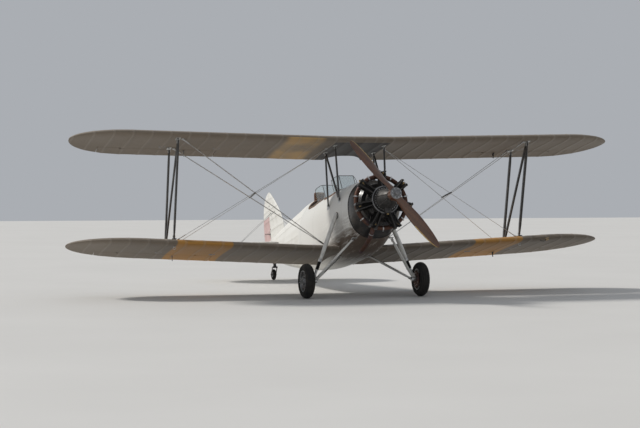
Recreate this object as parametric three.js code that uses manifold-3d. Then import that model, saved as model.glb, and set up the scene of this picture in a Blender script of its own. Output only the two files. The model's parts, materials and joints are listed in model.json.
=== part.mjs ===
// Two-seat open-cockpit training biplane with an open seven-cylinder radial engine.
// Millimetres, +Z up, nose towards -Y, port side towards +X.
// The aircraft is drawn level in its own axes, y aft of the middle of the lower wing's root chord and
// z above the propeller shaft, and then leans back on its three wheels.
import * as THREE from 'three';
import { mergeVertices } from 'three/addons/utils/BufferGeometryUtils.js';
import Module from 'manifold-3d';

const wasm = await Module();
wasm.setup();

// Driving dimensions
const HALF_SPAN = 4500;
const GROUND_ANGLE = THREE.MathUtils.degToRad(12);
const SEAT = 0.3; // gap between pieces that touch
const HINGE_GAP = 8; // round every hinged surface
const BOX_CENTRE_AFT = 1224; // middle of the parked length, aft of the wing's reference point

const PROPELLER_AFT = -2360;
const PROPELLER_RADIUS = 1030;
const PROPELLER_TILT = THREE.MathUtils.degToRad(38.5); // from upright, upper blade to starboard
const CYLINDERS = 7;
const CYLINDER_AFT = -1850;
const CYLINDER_TOP = 470; // engine radius over the rocker boxes
const FIREWALL_AFT = -1350;
const FUSELAGE_SPLIT_AFT = 1500; // between the front section and the rear one
const SKIN = 35;

const WHEEL = { aft: -720, height: -1030, track: 1880, radius: 270, width: 150 };
const TAIL_WHEEL = { aft: 4375, radius: 100, width: 62, trail: 110, pin: 12 };
const LIFT = WHEEL.radius + Math.sin(GROUND_ANGLE) * WHEEL.aft - Math.cos(GROUND_ANGLE) * WHEEL.height;

const UPPER = {
  root: 450, kink: 450, midAft: -621, height: 1090, chord: 1280, thickness: 0.1, incidence: 2.2,
  sweep: 4, dihedral: 2.3, tipStart: 3600, tipCentre: 0.4,
};
const LOWER = {
  root: 300, kink: 400, midAft: 0, height: -530, chord: 1280, thickness: 0.1, incidence: 2.2,
  sweep: 4, dihedral: 3.6, tipStart: 3350, tipCentre: 0.45,
};
const STRUT_OUT = 2900; // interplane struts from the centreline
const FRONT_SPAR = 0.15;
const REAR_SPAR = 0.67;
const AILERON = { from: 2150, to: 4000, hinge: 0.74, noseRadius: 35, eyes: [260, 1500] };

const TAILPLANE = {
  height: 330, halfSpan: 1500, tipStart: 850, leading: 3440, sweepBack: 120, trailing: 4660, hingeAft: 4240,
  thickness: 62, noseRadius: 22, eyes: [300, 1000],
};
const FIN = {
  leading: 3500, foot: 600, bottom: 120, top: 1430, hingeAft: 4330, rudderChord: 510, thickness: 58,
  noseRadius: 26, eyes: [720, 1160],
};

// Materials
const finish = (color, roughness, metalness = 0) =>
  new THREE.MeshStandardMaterial({ color, roughness, metalness });
const WHITE_PAINT = () => finish(0xe9e6dc, 0.45);
const WING_FABRIC = () => finish(0xa79d8f, 0.7);
const DARK_PAINT = () => finish(0x1d1b1a, 0.4);
const STEEL_STRUT = () => finish(0x232323, 0.45, 0.3);
const GREY_METAL = () => finish(0x6f7274, 0.4, 0.8);
const BARE_STEEL = () => finish(0x9a9c9e, 0.35, 0.9);
const RUBBER = () => finish(0x151515, 0.9);
const VARNISHED_WOOD = () => finish(0x5b2f17, 0.35);
const LEATHER = () => finish(0x4a2c1a, 0.6);
const CLEAR_PANE = () => finish(0xcfdde0, 0.1);
const EXHAUST = () => finish(0x4b3328, 0.6, 0.7);

// Solids: a closed three.js geometry as a body that can be joined and cut, with its faces pointing out
function solid(geometry) {
  const bare = geometry.clone();
  bare.deleteAttribute('normal');
  bare.deleteAttribute('uv');
  const merged = mergeVertices(bare, 1e-3);
  const corners = merged.index.array;
  const corner = (i) => new THREE.Vector3().fromBufferAttribute(merged.attributes.position, i);
  const triangles = [];
  let volume = 0;
  for (let i = 0; i < corners.length; i += 3) {
    const [a, b, c] = [corners[i], corners[i + 1], corners[i + 2]];
    if (a !== b && b !== c && c !== a) {
      triangles.push([a, b, c]);
      volume += corner(a).dot(corner(b).cross(corner(c)));
    }
  }
  const outward = triangles.flatMap(([a, b, c]) => (volume > 0 ? [a, b, c] : [a, c, b]));
  return new wasm.Manifold(new wasm.Mesh({
    numProp: 3,
    vertProperties: new Float32Array(merged.attributes.position.array),
    triVerts: new Uint32Array(outward),
  }));
}

function geometryOf(body) {
  const { vertProperties, triVerts } = body.getMesh();
  const geometry = new THREE.BufferGeometry();
  geometry.setAttribute('position', new THREE.BufferAttribute(new Float32Array(vertProperties), 3));
  geometry.setIndex(new THREE.BufferAttribute(new Uint32Array(triVerts), 1));
  geometry.computeVertexNormals();
  return geometry;
}

const joined = (...bodies) => bodies.reduce((sum, body) => sum.add(body));
const biggest = (body) => body.decompose()
  .reduce((best, part) => (part.volume() > best.volume() ? part : best));
const at = (x, y, z) => new THREE.Vector3(x, y, z);

// A closed body through rings of points that share one order.
function loft(rings) {
  const count = rings[0].length;
  const points = rings.flat();
  const triangles = [];
  for (let ring = 0; ring < rings.length - 1; ring++) {
    for (let i = 0; i < count; i++) {
      const near = ring * count + i;
      const next = ring * count + (i + 1) % count;
      triangles.push([near, next, next + count], [near, next + count, near + count]);
    }
  }
  for (const [ring, turned] of [[0, true], [rings.length - 1, false]]) {
    const middle = points.length;
    const centre = rings[ring].reduce((sum, point) => sum.add(point), new THREE.Vector3());
    points.push(centre.divideScalar(count));
    for (let i = 0; i < count; i++) {
      const near = ring * count + i;
      const next = ring * count + (i + 1) % count;
      triangles.push(turned ? [middle, next, near] : [middle, near, next]);
    }
  }
  const geometry = new THREE.BufferGeometry().setFromPoints(points);
  geometry.setIndex(triangles.flat());
  return solid(geometry);
}

// A bar between two points; its section is an ellipse whose long axis lies along `fore`.
function bar(from, to, width, depth = width, sides = 8, fore = at(0, 1, 0)) {
  const along = to.clone().sub(from).normalize();
  const deep = fore.clone().addScaledVector(along, -fore.dot(along)).normalize();
  const wide = new THREE.Vector3().crossVectors(along, deep);
  const ring = (centre) => Array.from({ length: sides }, (_, i) => {
    const angle = ((i + 0.5) / sides) * 2 * Math.PI;
    return centre.clone()
      .addScaledVector(deep, Math.cos(angle) * depth / 2)
      .addScaledVector(wide, Math.sin(angle) * width / 2);
  });
  return loft([ring(from), ring(to)]);
}

function box(width, depth, height, x, y, z) {
  return solid(new THREE.BoxGeometry(width, depth, height).translate(x, y, z));
}

// A turned body about the y axis from [radius, y] pairs that start and end on the axis, or about the z axis.
const lathed = (profile, sides) => new THREE.LatheGeometry(
  profile.map(([radius, along]) => new THREE.Vector2(radius, along)), sides);
const turned = (profile, sides) => solid(lathed(profile, sides));
const turnedUp = (profile, sides) => solid(lathed(profile, sides).rotateX(Math.PI / 2));

// Group that carries every piece
const aircraft = new THREE.Group();
function piece(name, body, material) {
  const mesh = new THREE.Mesh(geometryOf(body), material);
  mesh.name = name;
  aircraft.add(mesh);
}

// Fuselage sections, from the engine plate to the tail
// aft, halfWidth, bottom, waist, crown, bottomPower (2 is round, more is square), topPower
const FUSELAGE = [
  [-1350, 400, -480, -20, 430, 2.4, 2.1],
  [-800, 410, -595, 0, 490, 3.4, 2.2],
  [0, 410, -610, 20, 530, 4, 2.2],
  [900, 390, -580, 60, 570, 4, 2.1],
  [1500, 350, -510, 90, 690, 3.6, 1.7],
  [2300, 275, -360, 140, 665, 3.2, 1.7],
  [3300, 165, -130, 220, 610, 2.6, 1.8],
  [4150, 62, 105, 310, 540, 2.2, 2],
  [4290, 34, 150, 330, 520, 2, 2],
];
const FUSELAGE_SIDES = 24;

function fuselageRing([aft, halfWidth, bottom, waist, crown, bottomPower, topPower], inset = {}) {
  const { side = 0, floor = 0, roof = 0 } = inset;
  return Array.from({ length: FUSELAGE_SIDES }, (_, i) => {
    const angle = (i / FUSELAGE_SIDES) * 2 * Math.PI;
    const power = Math.sin(angle) < 0 ? bottomPower : topPower;
    const reach = (value) => Math.sign(value) * Math.abs(value) ** (2 / power);
    const rise = Math.sin(angle) < 0 ? waist - bottom - floor : crown - waist - roof;
    return at((halfWidth - side) * reach(Math.cos(angle)), aft, waist + rise * reach(Math.sin(angle)));
  });
}

function sectionAt(aft) {
  const next = Math.max(1, FUSELAGE.findIndex((section) => section[0] >= aft));
  const [before, after] = [FUSELAGE[next - 1], FUSELAGE[next]];
  const share = (aft - before[0]) / (after[0] - before[0]);
  return before.map((value, i) => value + (after[i] - value) * share);
}

function fuselageBody(from, to, inset) {
  const inside = FUSELAGE.filter(([aft]) => aft > from + 1 && aft < to - 1);
  const stations = [sectionAt(from), ...inside, sectionAt(to)];
  return loft(stations.map((section) => fuselageRing(section, inset)));
}

const grownFuselage = fuselageBody(FIREWALL_AFT, 4290, { side: -SEAT, floor: -SEAT, roof: -SEAT });

// Cockpit openings: front edge, back edge, half width
const COCKPITS = [
  { name: 'front', from: -260, to: 360, halfWidth: 255 },
  { name: 'rear', from: 620, to: 1240, halfWidth: 255 },
];
const CABIN = { from: -1250, to: 1400, floor: 60 };

function cockpitCut({ from, to, halfWidth }) {
  const length = to - from;
  const outline = new THREE.Shape();
  const round = halfWidth * 0.75;
  outline.moveTo(-halfWidth, -length / 2 + round);
  outline.quadraticCurveTo(-halfWidth, -length / 2, 0, -length / 2);
  outline.quadraticCurveTo(halfWidth, -length / 2, halfWidth, -length / 2 + round);
  outline.lineTo(halfWidth, length / 2 - round);
  outline.quadraticCurveTo(halfWidth, length / 2, 0, length / 2);
  outline.quadraticCurveTo(-halfWidth, length / 2, -halfWidth, length / 2 - round);
  const cut = new THREE.ExtrudeGeometry(outline, { depth: 900, bevelEnabled: false, curveSegments: 5 });
  return solid(cut.translate(0, (from + to) / 2, 100));
}

const cabin = fuselageBody(CABIN.from, CABIN.to, { side: SKIN, floor: CABIN.floor, roof: SKIN });
const frontSection = COCKPITS.reduce((body, cockpit) => body.subtract(cockpitCut(cockpit)),
  fuselageBody(FIREWALL_AFT, FUSELAGE_SPLIT_AFT - SEAT).subtract(cabin));

// Nose fairing between the engine and the front section
const COWL = [
  [-1690, 300, -300, 0, 300, 2, 2],
  [-1600, 355, -365, -5, 355, 2.1, 2],
  [-1480, 388, -430, -10, 400, 2.2, 2],
  [FIREWALL_AFT - SEAT, 400, -480, -20, 430, 2.4, 2.1],
];
piece('nose_fairing', loft(COWL.map((section) => fuselageRing(section))), DARK_PAINT());

// Wings
const aerofoil = (share, thickness) => 5 * thickness * (0.2969 * Math.sqrt(share) - 0.126 * share
  - 0.3516 * share ** 2 + 0.2843 * share ** 3 - 0.1015 * share ** 4);
const CAMBER = 0.035;
const TRAILING_EDGE = 5;
const CHORD_STEPS = 7;
const TAIL_STEPS = 5;
const TIP_STEPS = [0.4, 0.7, 0.88, 0.97, 0.997];

function tipShrink(wing, out) {
  const share = Math.max(0, (out - wing.tipStart) / (HALF_SPAN - wing.tipStart));
  return 1 - Math.sqrt(1 - Math.min(share, 1) ** 2);
}

// A point of a wing: distance from the centreline, share of the chord, height over the chord line
function wingPoint(wing, side, out, share, above = 0) {
  const shrink = tipShrink(wing, out);
  const local = shrink * wing.tipCentre + share * (1 - shrink);
  const beyond = Math.max(0, out - wing.kink);
  const tilt = THREE.MathUtils.degToRad(wing.incidence);
  const aft = (local - 0.5) * wing.chord;
  return at(side * out,
    wing.midAft + beyond * Math.tan(THREE.MathUtils.degToRad(wing.sweep))
      + aft * Math.cos(tilt) + above * Math.sin(tilt),
    wing.height + beyond * Math.tan(THREE.MathUtils.degToRad(wing.dihedral))
      - aft * Math.sin(tilt) + above * Math.cos(tilt));
}

function skinHeight(wing, out, share, upper) {
  const scale = wing.chord * (1 - tipShrink(wing, out));
  const half = scale * aerofoil(share, wing.thickness) + share * TRAILING_EDGE / 2;
  return scale * CAMBER * 4 * share * (1 - share) + (upper ? half : -half);
}

function wingRing(wing, side, out, grow) {
  const ring = [];
  for (let i = -CHORD_STEPS; i < CHORD_STEPS; i++) {
    const share = (1 - Math.cos((Math.abs(i) / CHORD_STEPS) * Math.PI)) / 2;
    const upper = i >= 0;
    const above = skinHeight(wing, out, share, upper) + (upper ? grow : -grow);
    ring.push(wingPoint(wing, side, out, share, above));
  }
  ring.push(wingPoint(wing, side, out, 1, skinHeight(wing, out, 1, true) + grow));
  return ring;
}

function wingPanel(wing, side, grow = 0) {
  const tips = TIP_STEPS.map((share) => wing.tipStart + share * (HALF_SPAN - wing.tipStart));
  return loft([wing.root, wing.tipStart, ...tips].map((out) => wingRing(wing, side, out, grow)));
}

// A frame on a hinge line: x along the hinge, y aft across it
function hingeFrame(start, end) {
  const along = end.clone().sub(start).normalize();
  const aft = at(0, 1, 0).addScaledVector(along, -along.y).normalize();
  return new THREE.Matrix4().makeBasis(along, aft, new THREE.Vector3().crossVectors(along, aft))
    .setPosition(start);
}

// The space that a hinged surface takes: a nose cylinder on the hinge and everything behind it
function hingeRegion(frame, length, noseRadius, grow, sides = 12) {
  const reach = 900;
  const slab = new THREE.BoxGeometry(length + 2 * grow, reach, reach)
    .translate(length / 2, reach / 2, 0).applyMatrix4(frame);
  const radius = noseRadius + grow;
  const nose = new THREE.CylinderGeometry(radius, radius, length + 2 * grow, sides)
    .rotateZ(Math.PI / 2).translate(length / 2, 0, 0).applyMatrix4(frame);
  return solid(slab).add(solid(nose));
}

// Hinge eyes: the fixed surface's lugs reach into notches of the moving one, which carries the pins
const HINGE = { pin: 7, bore: 8, eye: 16, lug: 22, notch: 34, notchBack: 22, sides: 8 };
function hinged(fixed, moving, frame, noseRadius, stations) {
  const rod = (radius, length) => new THREE.CylinderGeometry(radius, radius, length, HINGE.sides)
    .rotateZ(Math.PI / 2);
  const root = noseRadius + HINGE_GAP + 14;
  const front = noseRadius + 20;
  const back = HINGE.notchBack;
  for (const station of stations) {
    const placed = (geometry) => solid(geometry.translate(station, 0, 0).applyMatrix4(frame));
    const lug = placed(new THREE.BoxGeometry(HINGE.lug, root, 14).translate(0, -root / 2, 0))
      .add(placed(rod(HINGE.eye, HINGE.lug))).subtract(placed(rod(HINGE.bore, HINGE.lug + 4)));
    const notch = placed(new THREE.BoxGeometry(HINGE.notch, front + back, 200)
      .translate(0, (back - front) / 2, 0));
    fixed = fixed.add(lug);
    moving = moving.subtract(notch).add(placed(rod(HINGE.pin, HINGE.notch + 16)));
  }
  return [fixed, moving];
}

function hingePoint(wing, side, out) {
  const [top, under] = [true, false].map((upper) => skinHeight(wing, out, AILERON.hinge, upper));
  return wingPoint(wing, side, out, AILERON.hinge, (top + under) / 2);
}

const SIDES = [['left', 1], ['right', -1]];
const LEVELS = [['upper', UPPER], ['lower', LOWER]];
const grownWings = {};
for (const [level, wing] of LEVELS) {
  for (const [hand, side] of SIDES) {
    const whole = wingPanel(wing, side);
    const panel = level === 'lower' ? whole.subtract(grownFuselage) : whole;
    grownWings[level + hand] = wingPanel(wing, side, SEAT);
    const frame = hingeFrame(hingePoint(wing, side, AILERON.from), hingePoint(wing, side, wing.tipStart));
    const length = AILERON.to - AILERON.from;
    const region = (grow) => hingeRegion(frame, length, AILERON.noseRadius, grow);
    const [fixed, aileron] = hinged(panel.subtract(region(HINGE_GAP)), panel.intersect(region(0)), frame,
      AILERON.noseRadius, AILERON.eyes);
    piece(`${level}_wing_${hand}`, fixed, WING_FABRIC());
    piece(`${level}_aileron_${hand}`, aileron, WING_FABRIC());
  }
}

// Upper centre section, with the cut-out in its trailing edge over the front cockpit
const CUT_OUT = { radius: 330, behindMiddle: 720 };
function centreSection(grow) {
  const rings = [-1, 1].map((side) => wingRing({ ...UPPER, kink: 0, sweep: 0, dihedral: 0 },
    side, UPPER.root - 2 * SEAT, grow));
  return loft(rings);
}
const cutOut = solid(new THREE.CylinderGeometry(CUT_OUT.radius, CUT_OUT.radius, 600, 24)
  .rotateX(Math.PI / 2).translate(0, UPPER.midAft + CUT_OUT.behindMiddle, UPPER.height));
piece('upper_centre_section', centreSection(0).subtract(cutOut), WING_FABRIC());
const grownCentre = centreSection(SEAT);

// Interplane struts, an N on each side
const STRUT = { width: 34, depth: 92, footRise: 30, headRise: 10 }; // rises over the wings' chord lines
for (const [hand, side] of SIDES) {
  const foot = (share) => wingPoint(LOWER, side, STRUT_OUT, share, STRUT.footRise);
  const head = (share) => wingPoint(UPPER, side, STRUT_OUT, share, STRUT.headRise);
  const ends = [
    [foot(FRONT_SPAR), head(FRONT_SPAR)],
    [foot(REAR_SPAR), head(REAR_SPAR)],
    [foot(REAR_SPAR), head(FRONT_SPAR)],
  ];
  const frame = joined(...ends.map(([low, high]) => bar(low, high, STRUT.width, STRUT.depth, 10)));
  const trimmed = frame.subtract(grownWings[`upper${hand}`]).subtract(grownWings[`lower${hand}`]);
  piece(`interplane_strut_${hand}`, biggest(trimmed), STEEL_STRUT());
}

// Cabane struts, an N on each side between the fuselage and the centre section; ends are [foot aft, head aft]
const CABANE = {
  out: 405, footOut: 385, footHeight: 180, width: 26, depth: 66,
  ends: [[-900, -935], [-360, -420], [-900, -420]],
};
for (const [hand, side] of SIDES) {
  const foot = (aft) => at(side * CABANE.footOut, aft, CABANE.footHeight);
  const head = (aft) => at(side * CABANE.out, aft, UPPER.height + 20);
  const bars = CABANE.ends.map(([low, high]) => bar(foot(low), head(high), CABANE.width, CABANE.depth, 10));
  const trimmed = joined(...bars).subtract(grownFuselage).subtract(grownCentre);
  piece(`cabane_strut_${hand}`, biggest(trimmed), STEEL_STRUT());
}

// Main wires: from one root fitting to both spars of the other wing, up for flying and down for landing
const WIRE = { thickness: 9, out: 2830, lowRise: 25, highRise: 10 };
const WIRE_ROOTS = {
  flying_wires: { root: 'low', out: 430, share: 0.3 },
  landing_wires: { root: 'high', out: 480, share: 0.42 },
};
for (const [hand, side] of SIDES) {
  const ends = {
    low: (out, share) => wingPoint(LOWER, side, out, share, WIRE.lowRise),
    high: (out, share) => wingPoint(UPPER, side, out, share, WIRE.highRise),
  };
  for (const [name, { root, out, share }] of Object.entries(WIRE_ROOTS)) {
    const start = ends[root](out, share);
    const outer = ends[root === 'low' ? 'high' : 'low'];
    const runs = [FRONT_SPAR, REAR_SPAR]
      .map((spar) => bar(start, outer(WIRE.out, spar), WIRE.thickness, WIRE.thickness, 6));
    const frame = joined(box(40, 70, 40, ...start.toArray()), ...runs);
    const trimmed = frame.subtract(grownWings[`upper${hand}`]).subtract(grownWings[`lower${hand}`])
      .subtract(grownFuselage);
    piece(`${name}_${hand}`, biggest(trimmed), BARE_STEEL());
  }
}

// Tail surfaces: a symmetrical section between a leading and a trailing edge
function tailRing(leading, trailing, thickness, place) {
  const ring = [];
  const length = trailing - leading;
  for (let i = -TAIL_STEPS; i <= TAIL_STEPS; i++) {
    const share = (1 - Math.cos((Math.abs(i) / TAIL_STEPS) * Math.PI)) / 2;
    const half = length * aerofoil(share, thickness / length) + share * TRAILING_EDGE / 2;
    ring.push(place(leading + share * length, i < 0 ? -half : half));
  }
  return ring;
}

function tailplaneRing(side, out, grow) {
  const share = Math.max(0, (out - TAILPLANE.tipStart) / (TAILPLANE.halfSpan - TAILPLANE.tipStart));
  const shrink = 1 - Math.sqrt(1 - share ** 2);
  const leading = TAILPLANE.leading + TAILPLANE.sweepBack * (out / TAILPLANE.halfSpan);
  const half = (TAILPLANE.trailing - leading) / 2;
  return tailRing(leading + shrink * half, TAILPLANE.trailing - shrink * half,
    TAILPLANE.thickness * (1 - 0.7 * shrink) + 2 * grow,
    (aft, above) => at(side * out, aft, TAILPLANE.height + above));
}

function tailplaneBody(grow) {
  const outs = [0.995, 0.92, 0.7, 0.4, 0]
    .map((share) => TAILPLANE.tipStart + share * (TAILPLANE.halfSpan - TAILPLANE.tipStart));
  const left = outs.map((out) => tailplaneRing(1, out, grow));
  const right = outs.map((out) => tailplaneRing(-1, out, grow)).reverse();
  return loft([...left, ...right]);
}

// Room for the rudder between the two halves of the elevator, in plan
const ROOM_EDGE = [[72, 4100], [72, 4262], [235, 4760]];
const rudderRoom = new THREE.Shape([...ROOM_EDGE, ...ROOM_EDGE.map(([x, y]) => [-x, y]).reverse()]
  .map(([x, y]) => new THREE.Vector2(x, y)));
const rudderWedge = solid(new THREE.ExtrudeGeometry(rudderRoom, { depth: 400, bevelEnabled: false })
  .translate(0, 0, TAILPLANE.height - 200));

const onTailHinge = (x) => at(x, TAILPLANE.hingeAft, TAILPLANE.height);
const tailHinge = hingeFrame(onTailHinge(-TAILPLANE.halfSpan), onTailHinge(0));
const elevatorRegion = (grow) => hingeRegion(tailHinge, 2 * TAILPLANE.halfSpan, TAILPLANE.noseRadius, grow);
const wholeTailplane = tailplaneBody(0);
const torqueTube = bar(onTailHinge(-90), onTailHinge(90), 32, 32, 12);
const [tailplane, elevator] = hinged(
  wholeTailplane.subtract(elevatorRegion(HINGE_GAP)),
  wholeTailplane.intersect(elevatorRegion(0)).subtract(rudderWedge).add(torqueTube),
  tailHinge, TAILPLANE.noseRadius,
  TAILPLANE.eyes.flatMap((out) => [TAILPLANE.halfSpan - out, TAILPLANE.halfSpan + out]),
);
piece('tailplane', tailplane, WHITE_PAINT());
piece('elevator', elevator, WHITE_PAINT());

// Fin and rudder: one rounded outline, parted at the rudder hinge
function finRing(height) {
  const lift = Math.min(1, Math.max(0, (height - FIN.foot) / (FIN.top - FIN.foot)));
  const leading = FIN.leading + (FIN.hingeAft - FIN.leading) * lift ** 1.6;
  const halfHeight = (FIN.top - FIN.bottom) / 2;
  const rise = Math.abs(height - (FIN.top + FIN.bottom) / 2) / halfHeight;
  const trailing = FIN.hingeAft + FIN.rudderChord * (1 - rise ** 2.6) ** (1 / 2.6);
  const thickness = FIN.thickness * (1 - 0.5 * rise ** 6);
  return tailRing(leading, trailing, thickness, (aft, across) => at(across, aft, height));
}

const finSpan = FIN.top - FIN.bottom;
const finHeights = [0.004, 0.04, 0.15, 0.36, 0.6, 0.78, 0.9, 0.965, 0.995]
  .map((share) => FIN.bottom + share * finSpan);
const wholeFin = loft(finHeights.map(finRing));
const rudderHinge = new THREE.Matrix4().makeBasis(at(0, 0, 1), at(0, 1, 0), at(-1, 0, 0))
  .setPosition(at(0, FIN.hingeAft, FIN.bottom - 50));
const rudderRegion = (grow) => hingeRegion(rudderHinge, finSpan + 100, FIN.noseRadius, grow);
const belowFin = box(400, 2000, 1000, 0, FIN.hingeAft, FIN.foot - 70 - 500);
const [finPost, rudder] = hinged(
  biggest(wholeFin.subtract(grownFuselage).subtract(rudderRegion(HINGE_GAP)).subtract(belowFin)),
  wholeFin.intersect(rudderRegion(0)),
  rudderHinge, FIN.noseRadius, FIN.eyes.map((height) => height - FIN.bottom + 50),
);
piece('fin', finPost, WHITE_PAINT());
piece('rudder', rudder, WHITE_PAINT());

// Rear fuselage, with the way through for the tailplane and the elevator's tube, and the tail wheel's socket
const swivelAft = TAIL_WHEEL.aft - TAIL_WHEEL.trail;
const swivelTop = sectionAt(swivelAft)[2] + 40;
const tailDrop = Math.sin(GROUND_ANGLE) * TAIL_WHEEL.aft;
const tailWheelHeight = (TAIL_WHEEL.radius - LIFT + tailDrop) / Math.cos(GROUND_ANGLE);
const crownHeight = tailWheelHeight + TAIL_WHEEL.radius + 34;
const socket = bar(at(0, swivelAft, crownHeight + SEAT), at(0, swivelAft, swivelTop), 64, 64, 12);
const tubeWay = bar(onTailHinge(-300), onTailHinge(300), 52, 52, 12);
const tailWay = tailplaneBody(SEAT)
  .intersect(box(900, 1500, 400, 0, TAILPLANE.hingeAft - 750, TAILPLANE.height));
piece('fuselage_rear', fuselageBody(FUSELAGE_SPLIT_AFT, 4290).add(socket).subtract(tailWay).subtract(tubeWay),
  WHITE_PAINT());
piece('fuselage_front', frontSection, WHITE_PAINT());

const TAIL_STRUT = { low: [60, 3760, 20], high: [800, 3800, TAILPLANE.height], width: 20, depth: 46 };
for (const [hand, side] of SIDES) {
  const [low, high] = [TAIL_STRUT.low, TAIL_STRUT.high].map(([x, y, z]) => at(side * x, y, z));
  const strut = bar(low, high, TAIL_STRUT.width, TAIL_STRUT.depth, 8);
  piece(`tailplane_strut_${hand}`, biggest(strut.subtract(grownFuselage).subtract(tailplaneBody(SEAT))),
    STEEL_STRUT());
}

// Tail wheel and its fork
const forkLeg = TAIL_WHEEL.width / 2 + 12;
const tailAxle = at(0, TAIL_WHEEL.aft, tailWheelHeight);
const fork = joined(
  bar(at(0, swivelAft, crownHeight - 26), at(0, swivelAft, crownHeight), 60, 60, 12),
  box(2 * forkLeg + 12, 70, 22, 0, swivelAft + 10, crownHeight - 14),
  ...[-1, 1].map((side) => bar(at(side * forkLeg, swivelAft + 8, crownHeight - 12),
    at(side * forkLeg, TAIL_WHEEL.aft, tailWheelHeight), 12, 40, 8)),
  bar(tailAxle.clone().setX(-forkLeg - 8), tailAxle.clone().setX(forkLeg + 8), 2 * TAIL_WHEEL.pin,
    2 * TAIL_WHEEL.pin, 12),
);
piece('tail_wheel_fork', fork, STEEL_STRUT());

// A ring about the x axis from a closed profile of [radius, x] pairs
function wheelRing(profile, sides, centre) {
  return solid(lathed([...profile, profile[0]], sides).rotateZ(-Math.PI / 2).translate(...centre.toArray()));
}

const tyreArc = (centre, half, width, from, to, steps) => Array.from({ length: steps + 1 }, (_, i) => {
  const angle = THREE.MathUtils.degToRad(from + (to - from) * i / steps);
  return [centre + half * Math.sin(angle), width * Math.cos(angle)];
});
const boreFor = (pin, sides) => (pin + SEAT) / Math.cos(Math.PI / sides);
const tailBore = boreFor(TAIL_WHEEL.pin, 12);
piece('tail_wheel', wheelRing([[tailBore, 28], ...tyreArc(70, 30, TAIL_WHEEL.width / 2, -30, 210, 6),
  [tailBore, -28]], 18, tailAxle), RUBBER());

// Main gear: axle on the front strut, rear strut, oleo leg, tyre and wheel on each side
const AXLE = { radius: 22, hubHalf: 70, shoulder: 34, bracket: 822, stub: 40, nut: 60, nutThick: 14 };
const GEAR = {
  width: 34, depth: 74, frontTop: [300, -1250, -455], rearTop: [215, -300, -560], rearInset: 10,
};
const LEG = {
  top: [395, -800, 60], outset: 6, ahead: 12, above: 10, fairing: [62, 118], fairingShare: 0.72, tube: 44,
};
const TREAD = 65; // half the height of the tyre's section
const BEAD_ANGLE = 35;
const RIM = WHEEL.radius - TREAD * (1 + Math.sin(THREE.MathUtils.degToRad(BEAD_ANGLE))) - SEAT;
for (const [hand, side] of SIDES) {
  const onAxle = (out, ahead = 0, above = 0) => at(side * out, WHEEL.aft - ahead, WHEEL.height + above);
  const onBody = ([x, y, z]) => at(side * x, y, z);
  const inner = WHEEL.track / 2 - AXLE.hubHalf - SEAT;
  const outer = WHEEL.track / 2 + AXLE.hubHalf + SEAT;
  const strut = (top, out, grow = 0) =>
    bar(onBody(top), onAxle(out), GEAR.width + 2 * grow, GEAR.depth + 2 * grow, 8);
  const stub = (from, to, thickness, sides) => bar(onAxle(from), onAxle(to), thickness, thickness, sides);
  const inboard = AXLE.bracket - AXLE.stub;
  const shoulder = (grow = 0) => stub(inboard - grow, inner + grow, 2 * (AXLE.shoulder + grow), 12);
  const axle = joined(
    stub(inboard, outer + AXLE.nutThick, 2 * AXLE.radius, 16),
    shoulder(),
    stub(outer, outer + AXLE.nutThick, AXLE.nut, 6),
  );
  const front = biggest(strut(GEAR.frontTop, AXLE.bracket).subtract(grownFuselage).add(axle));
  piece(`gear_front_strut_${hand}`, front, WHITE_PAINT());
  const frontRoom = strut(GEAR.frontTop, AXLE.bracket, SEAT).add(shoulder(2 * SEAT));
  const rearOut = AXLE.bracket - GEAR.rearInset;
  const rear = strut(GEAR.rearTop, rearOut).subtract(grownFuselage).subtract(frontRoom);
  piece(`gear_rear_strut_${hand}`, biggest(rear), WHITE_PAINT());
  const legTop = onBody(LEG.top);
  const legFoot = onAxle(AXLE.bracket + LEG.outset, LEG.ahead, LEG.above);
  const fairingEnd = legTop.clone().lerp(legFoot, LEG.fairingShare);
  const leg = bar(legTop, fairingEnd, ...LEG.fairing, 12).add(bar(legTop, legFoot, LEG.tube, LEG.tube, 10));
  const rearRoom = strut(GEAR.rearTop, rearOut, 2 * SEAT);
  piece(`oleo_leg_${hand}`, biggest(leg.subtract(grownFuselage).subtract(frontRoom).subtract(rearRoom)),
    WHITE_PAINT());

  const centre = onAxle(WHEEL.track / 2);
  const tyre = tyreArc(WHEEL.radius - TREAD, TREAD, WHEEL.width / 2, -BEAD_ANGLE, 180 + BEAD_ANGLE, 10);
  piece(`tyre_${hand}`, wheelRing(tyre, 24, centre), RUBBER());
  const face = [[46, 70], [62, 38], [138, 26], [148, 56], [RIM, 58]]; // [radius, x] from the hub to the rim
  const bore = boreFor(AXLE.radius, 16);
  const profile = [[bore, -AXLE.hubHalf], ...face.map(([radius, x]) => [radius, -x]), ...face.reverse(),
    [bore, AXLE.hubHalf]];
  piece(`wheel_${hand}`, wheelRing(profile, 24, centre), GREY_METAL());
}

// Engine
const ENGINE_FRONT = -2290;
const CRANKCASE_RADIUS = 185;
const PAD = 192;
const cylinderAngles = Array.from({ length: CYLINDERS }, (_, i) => (i / CYLINDERS) * 2 * Math.PI);
const pads = cylinderAngles.map((angle) => solid(new THREE.BoxGeometry(136, 136, 60)
  .translate(0, 0, PAD - 30).rotateY(angle).translate(0, CYLINDER_AFT, 0)));
const engineBack = COWL[0][0] - SEAT;
const crankcase = turned([[0, ENGINE_FRONT], [66, ENGINE_FRONT], [74, -2270], [100, -2215], [140, -2080],
  [172, -1960], [CRANKCASE_RADIUS, -1925], [CRANKCASE_RADIUS, -1775], [240, -1745], [240, engineBack],
  [0, engineBack]], 20);
piece('crankcase', joined(crankcase, ...pads), GREY_METAL());

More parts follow.
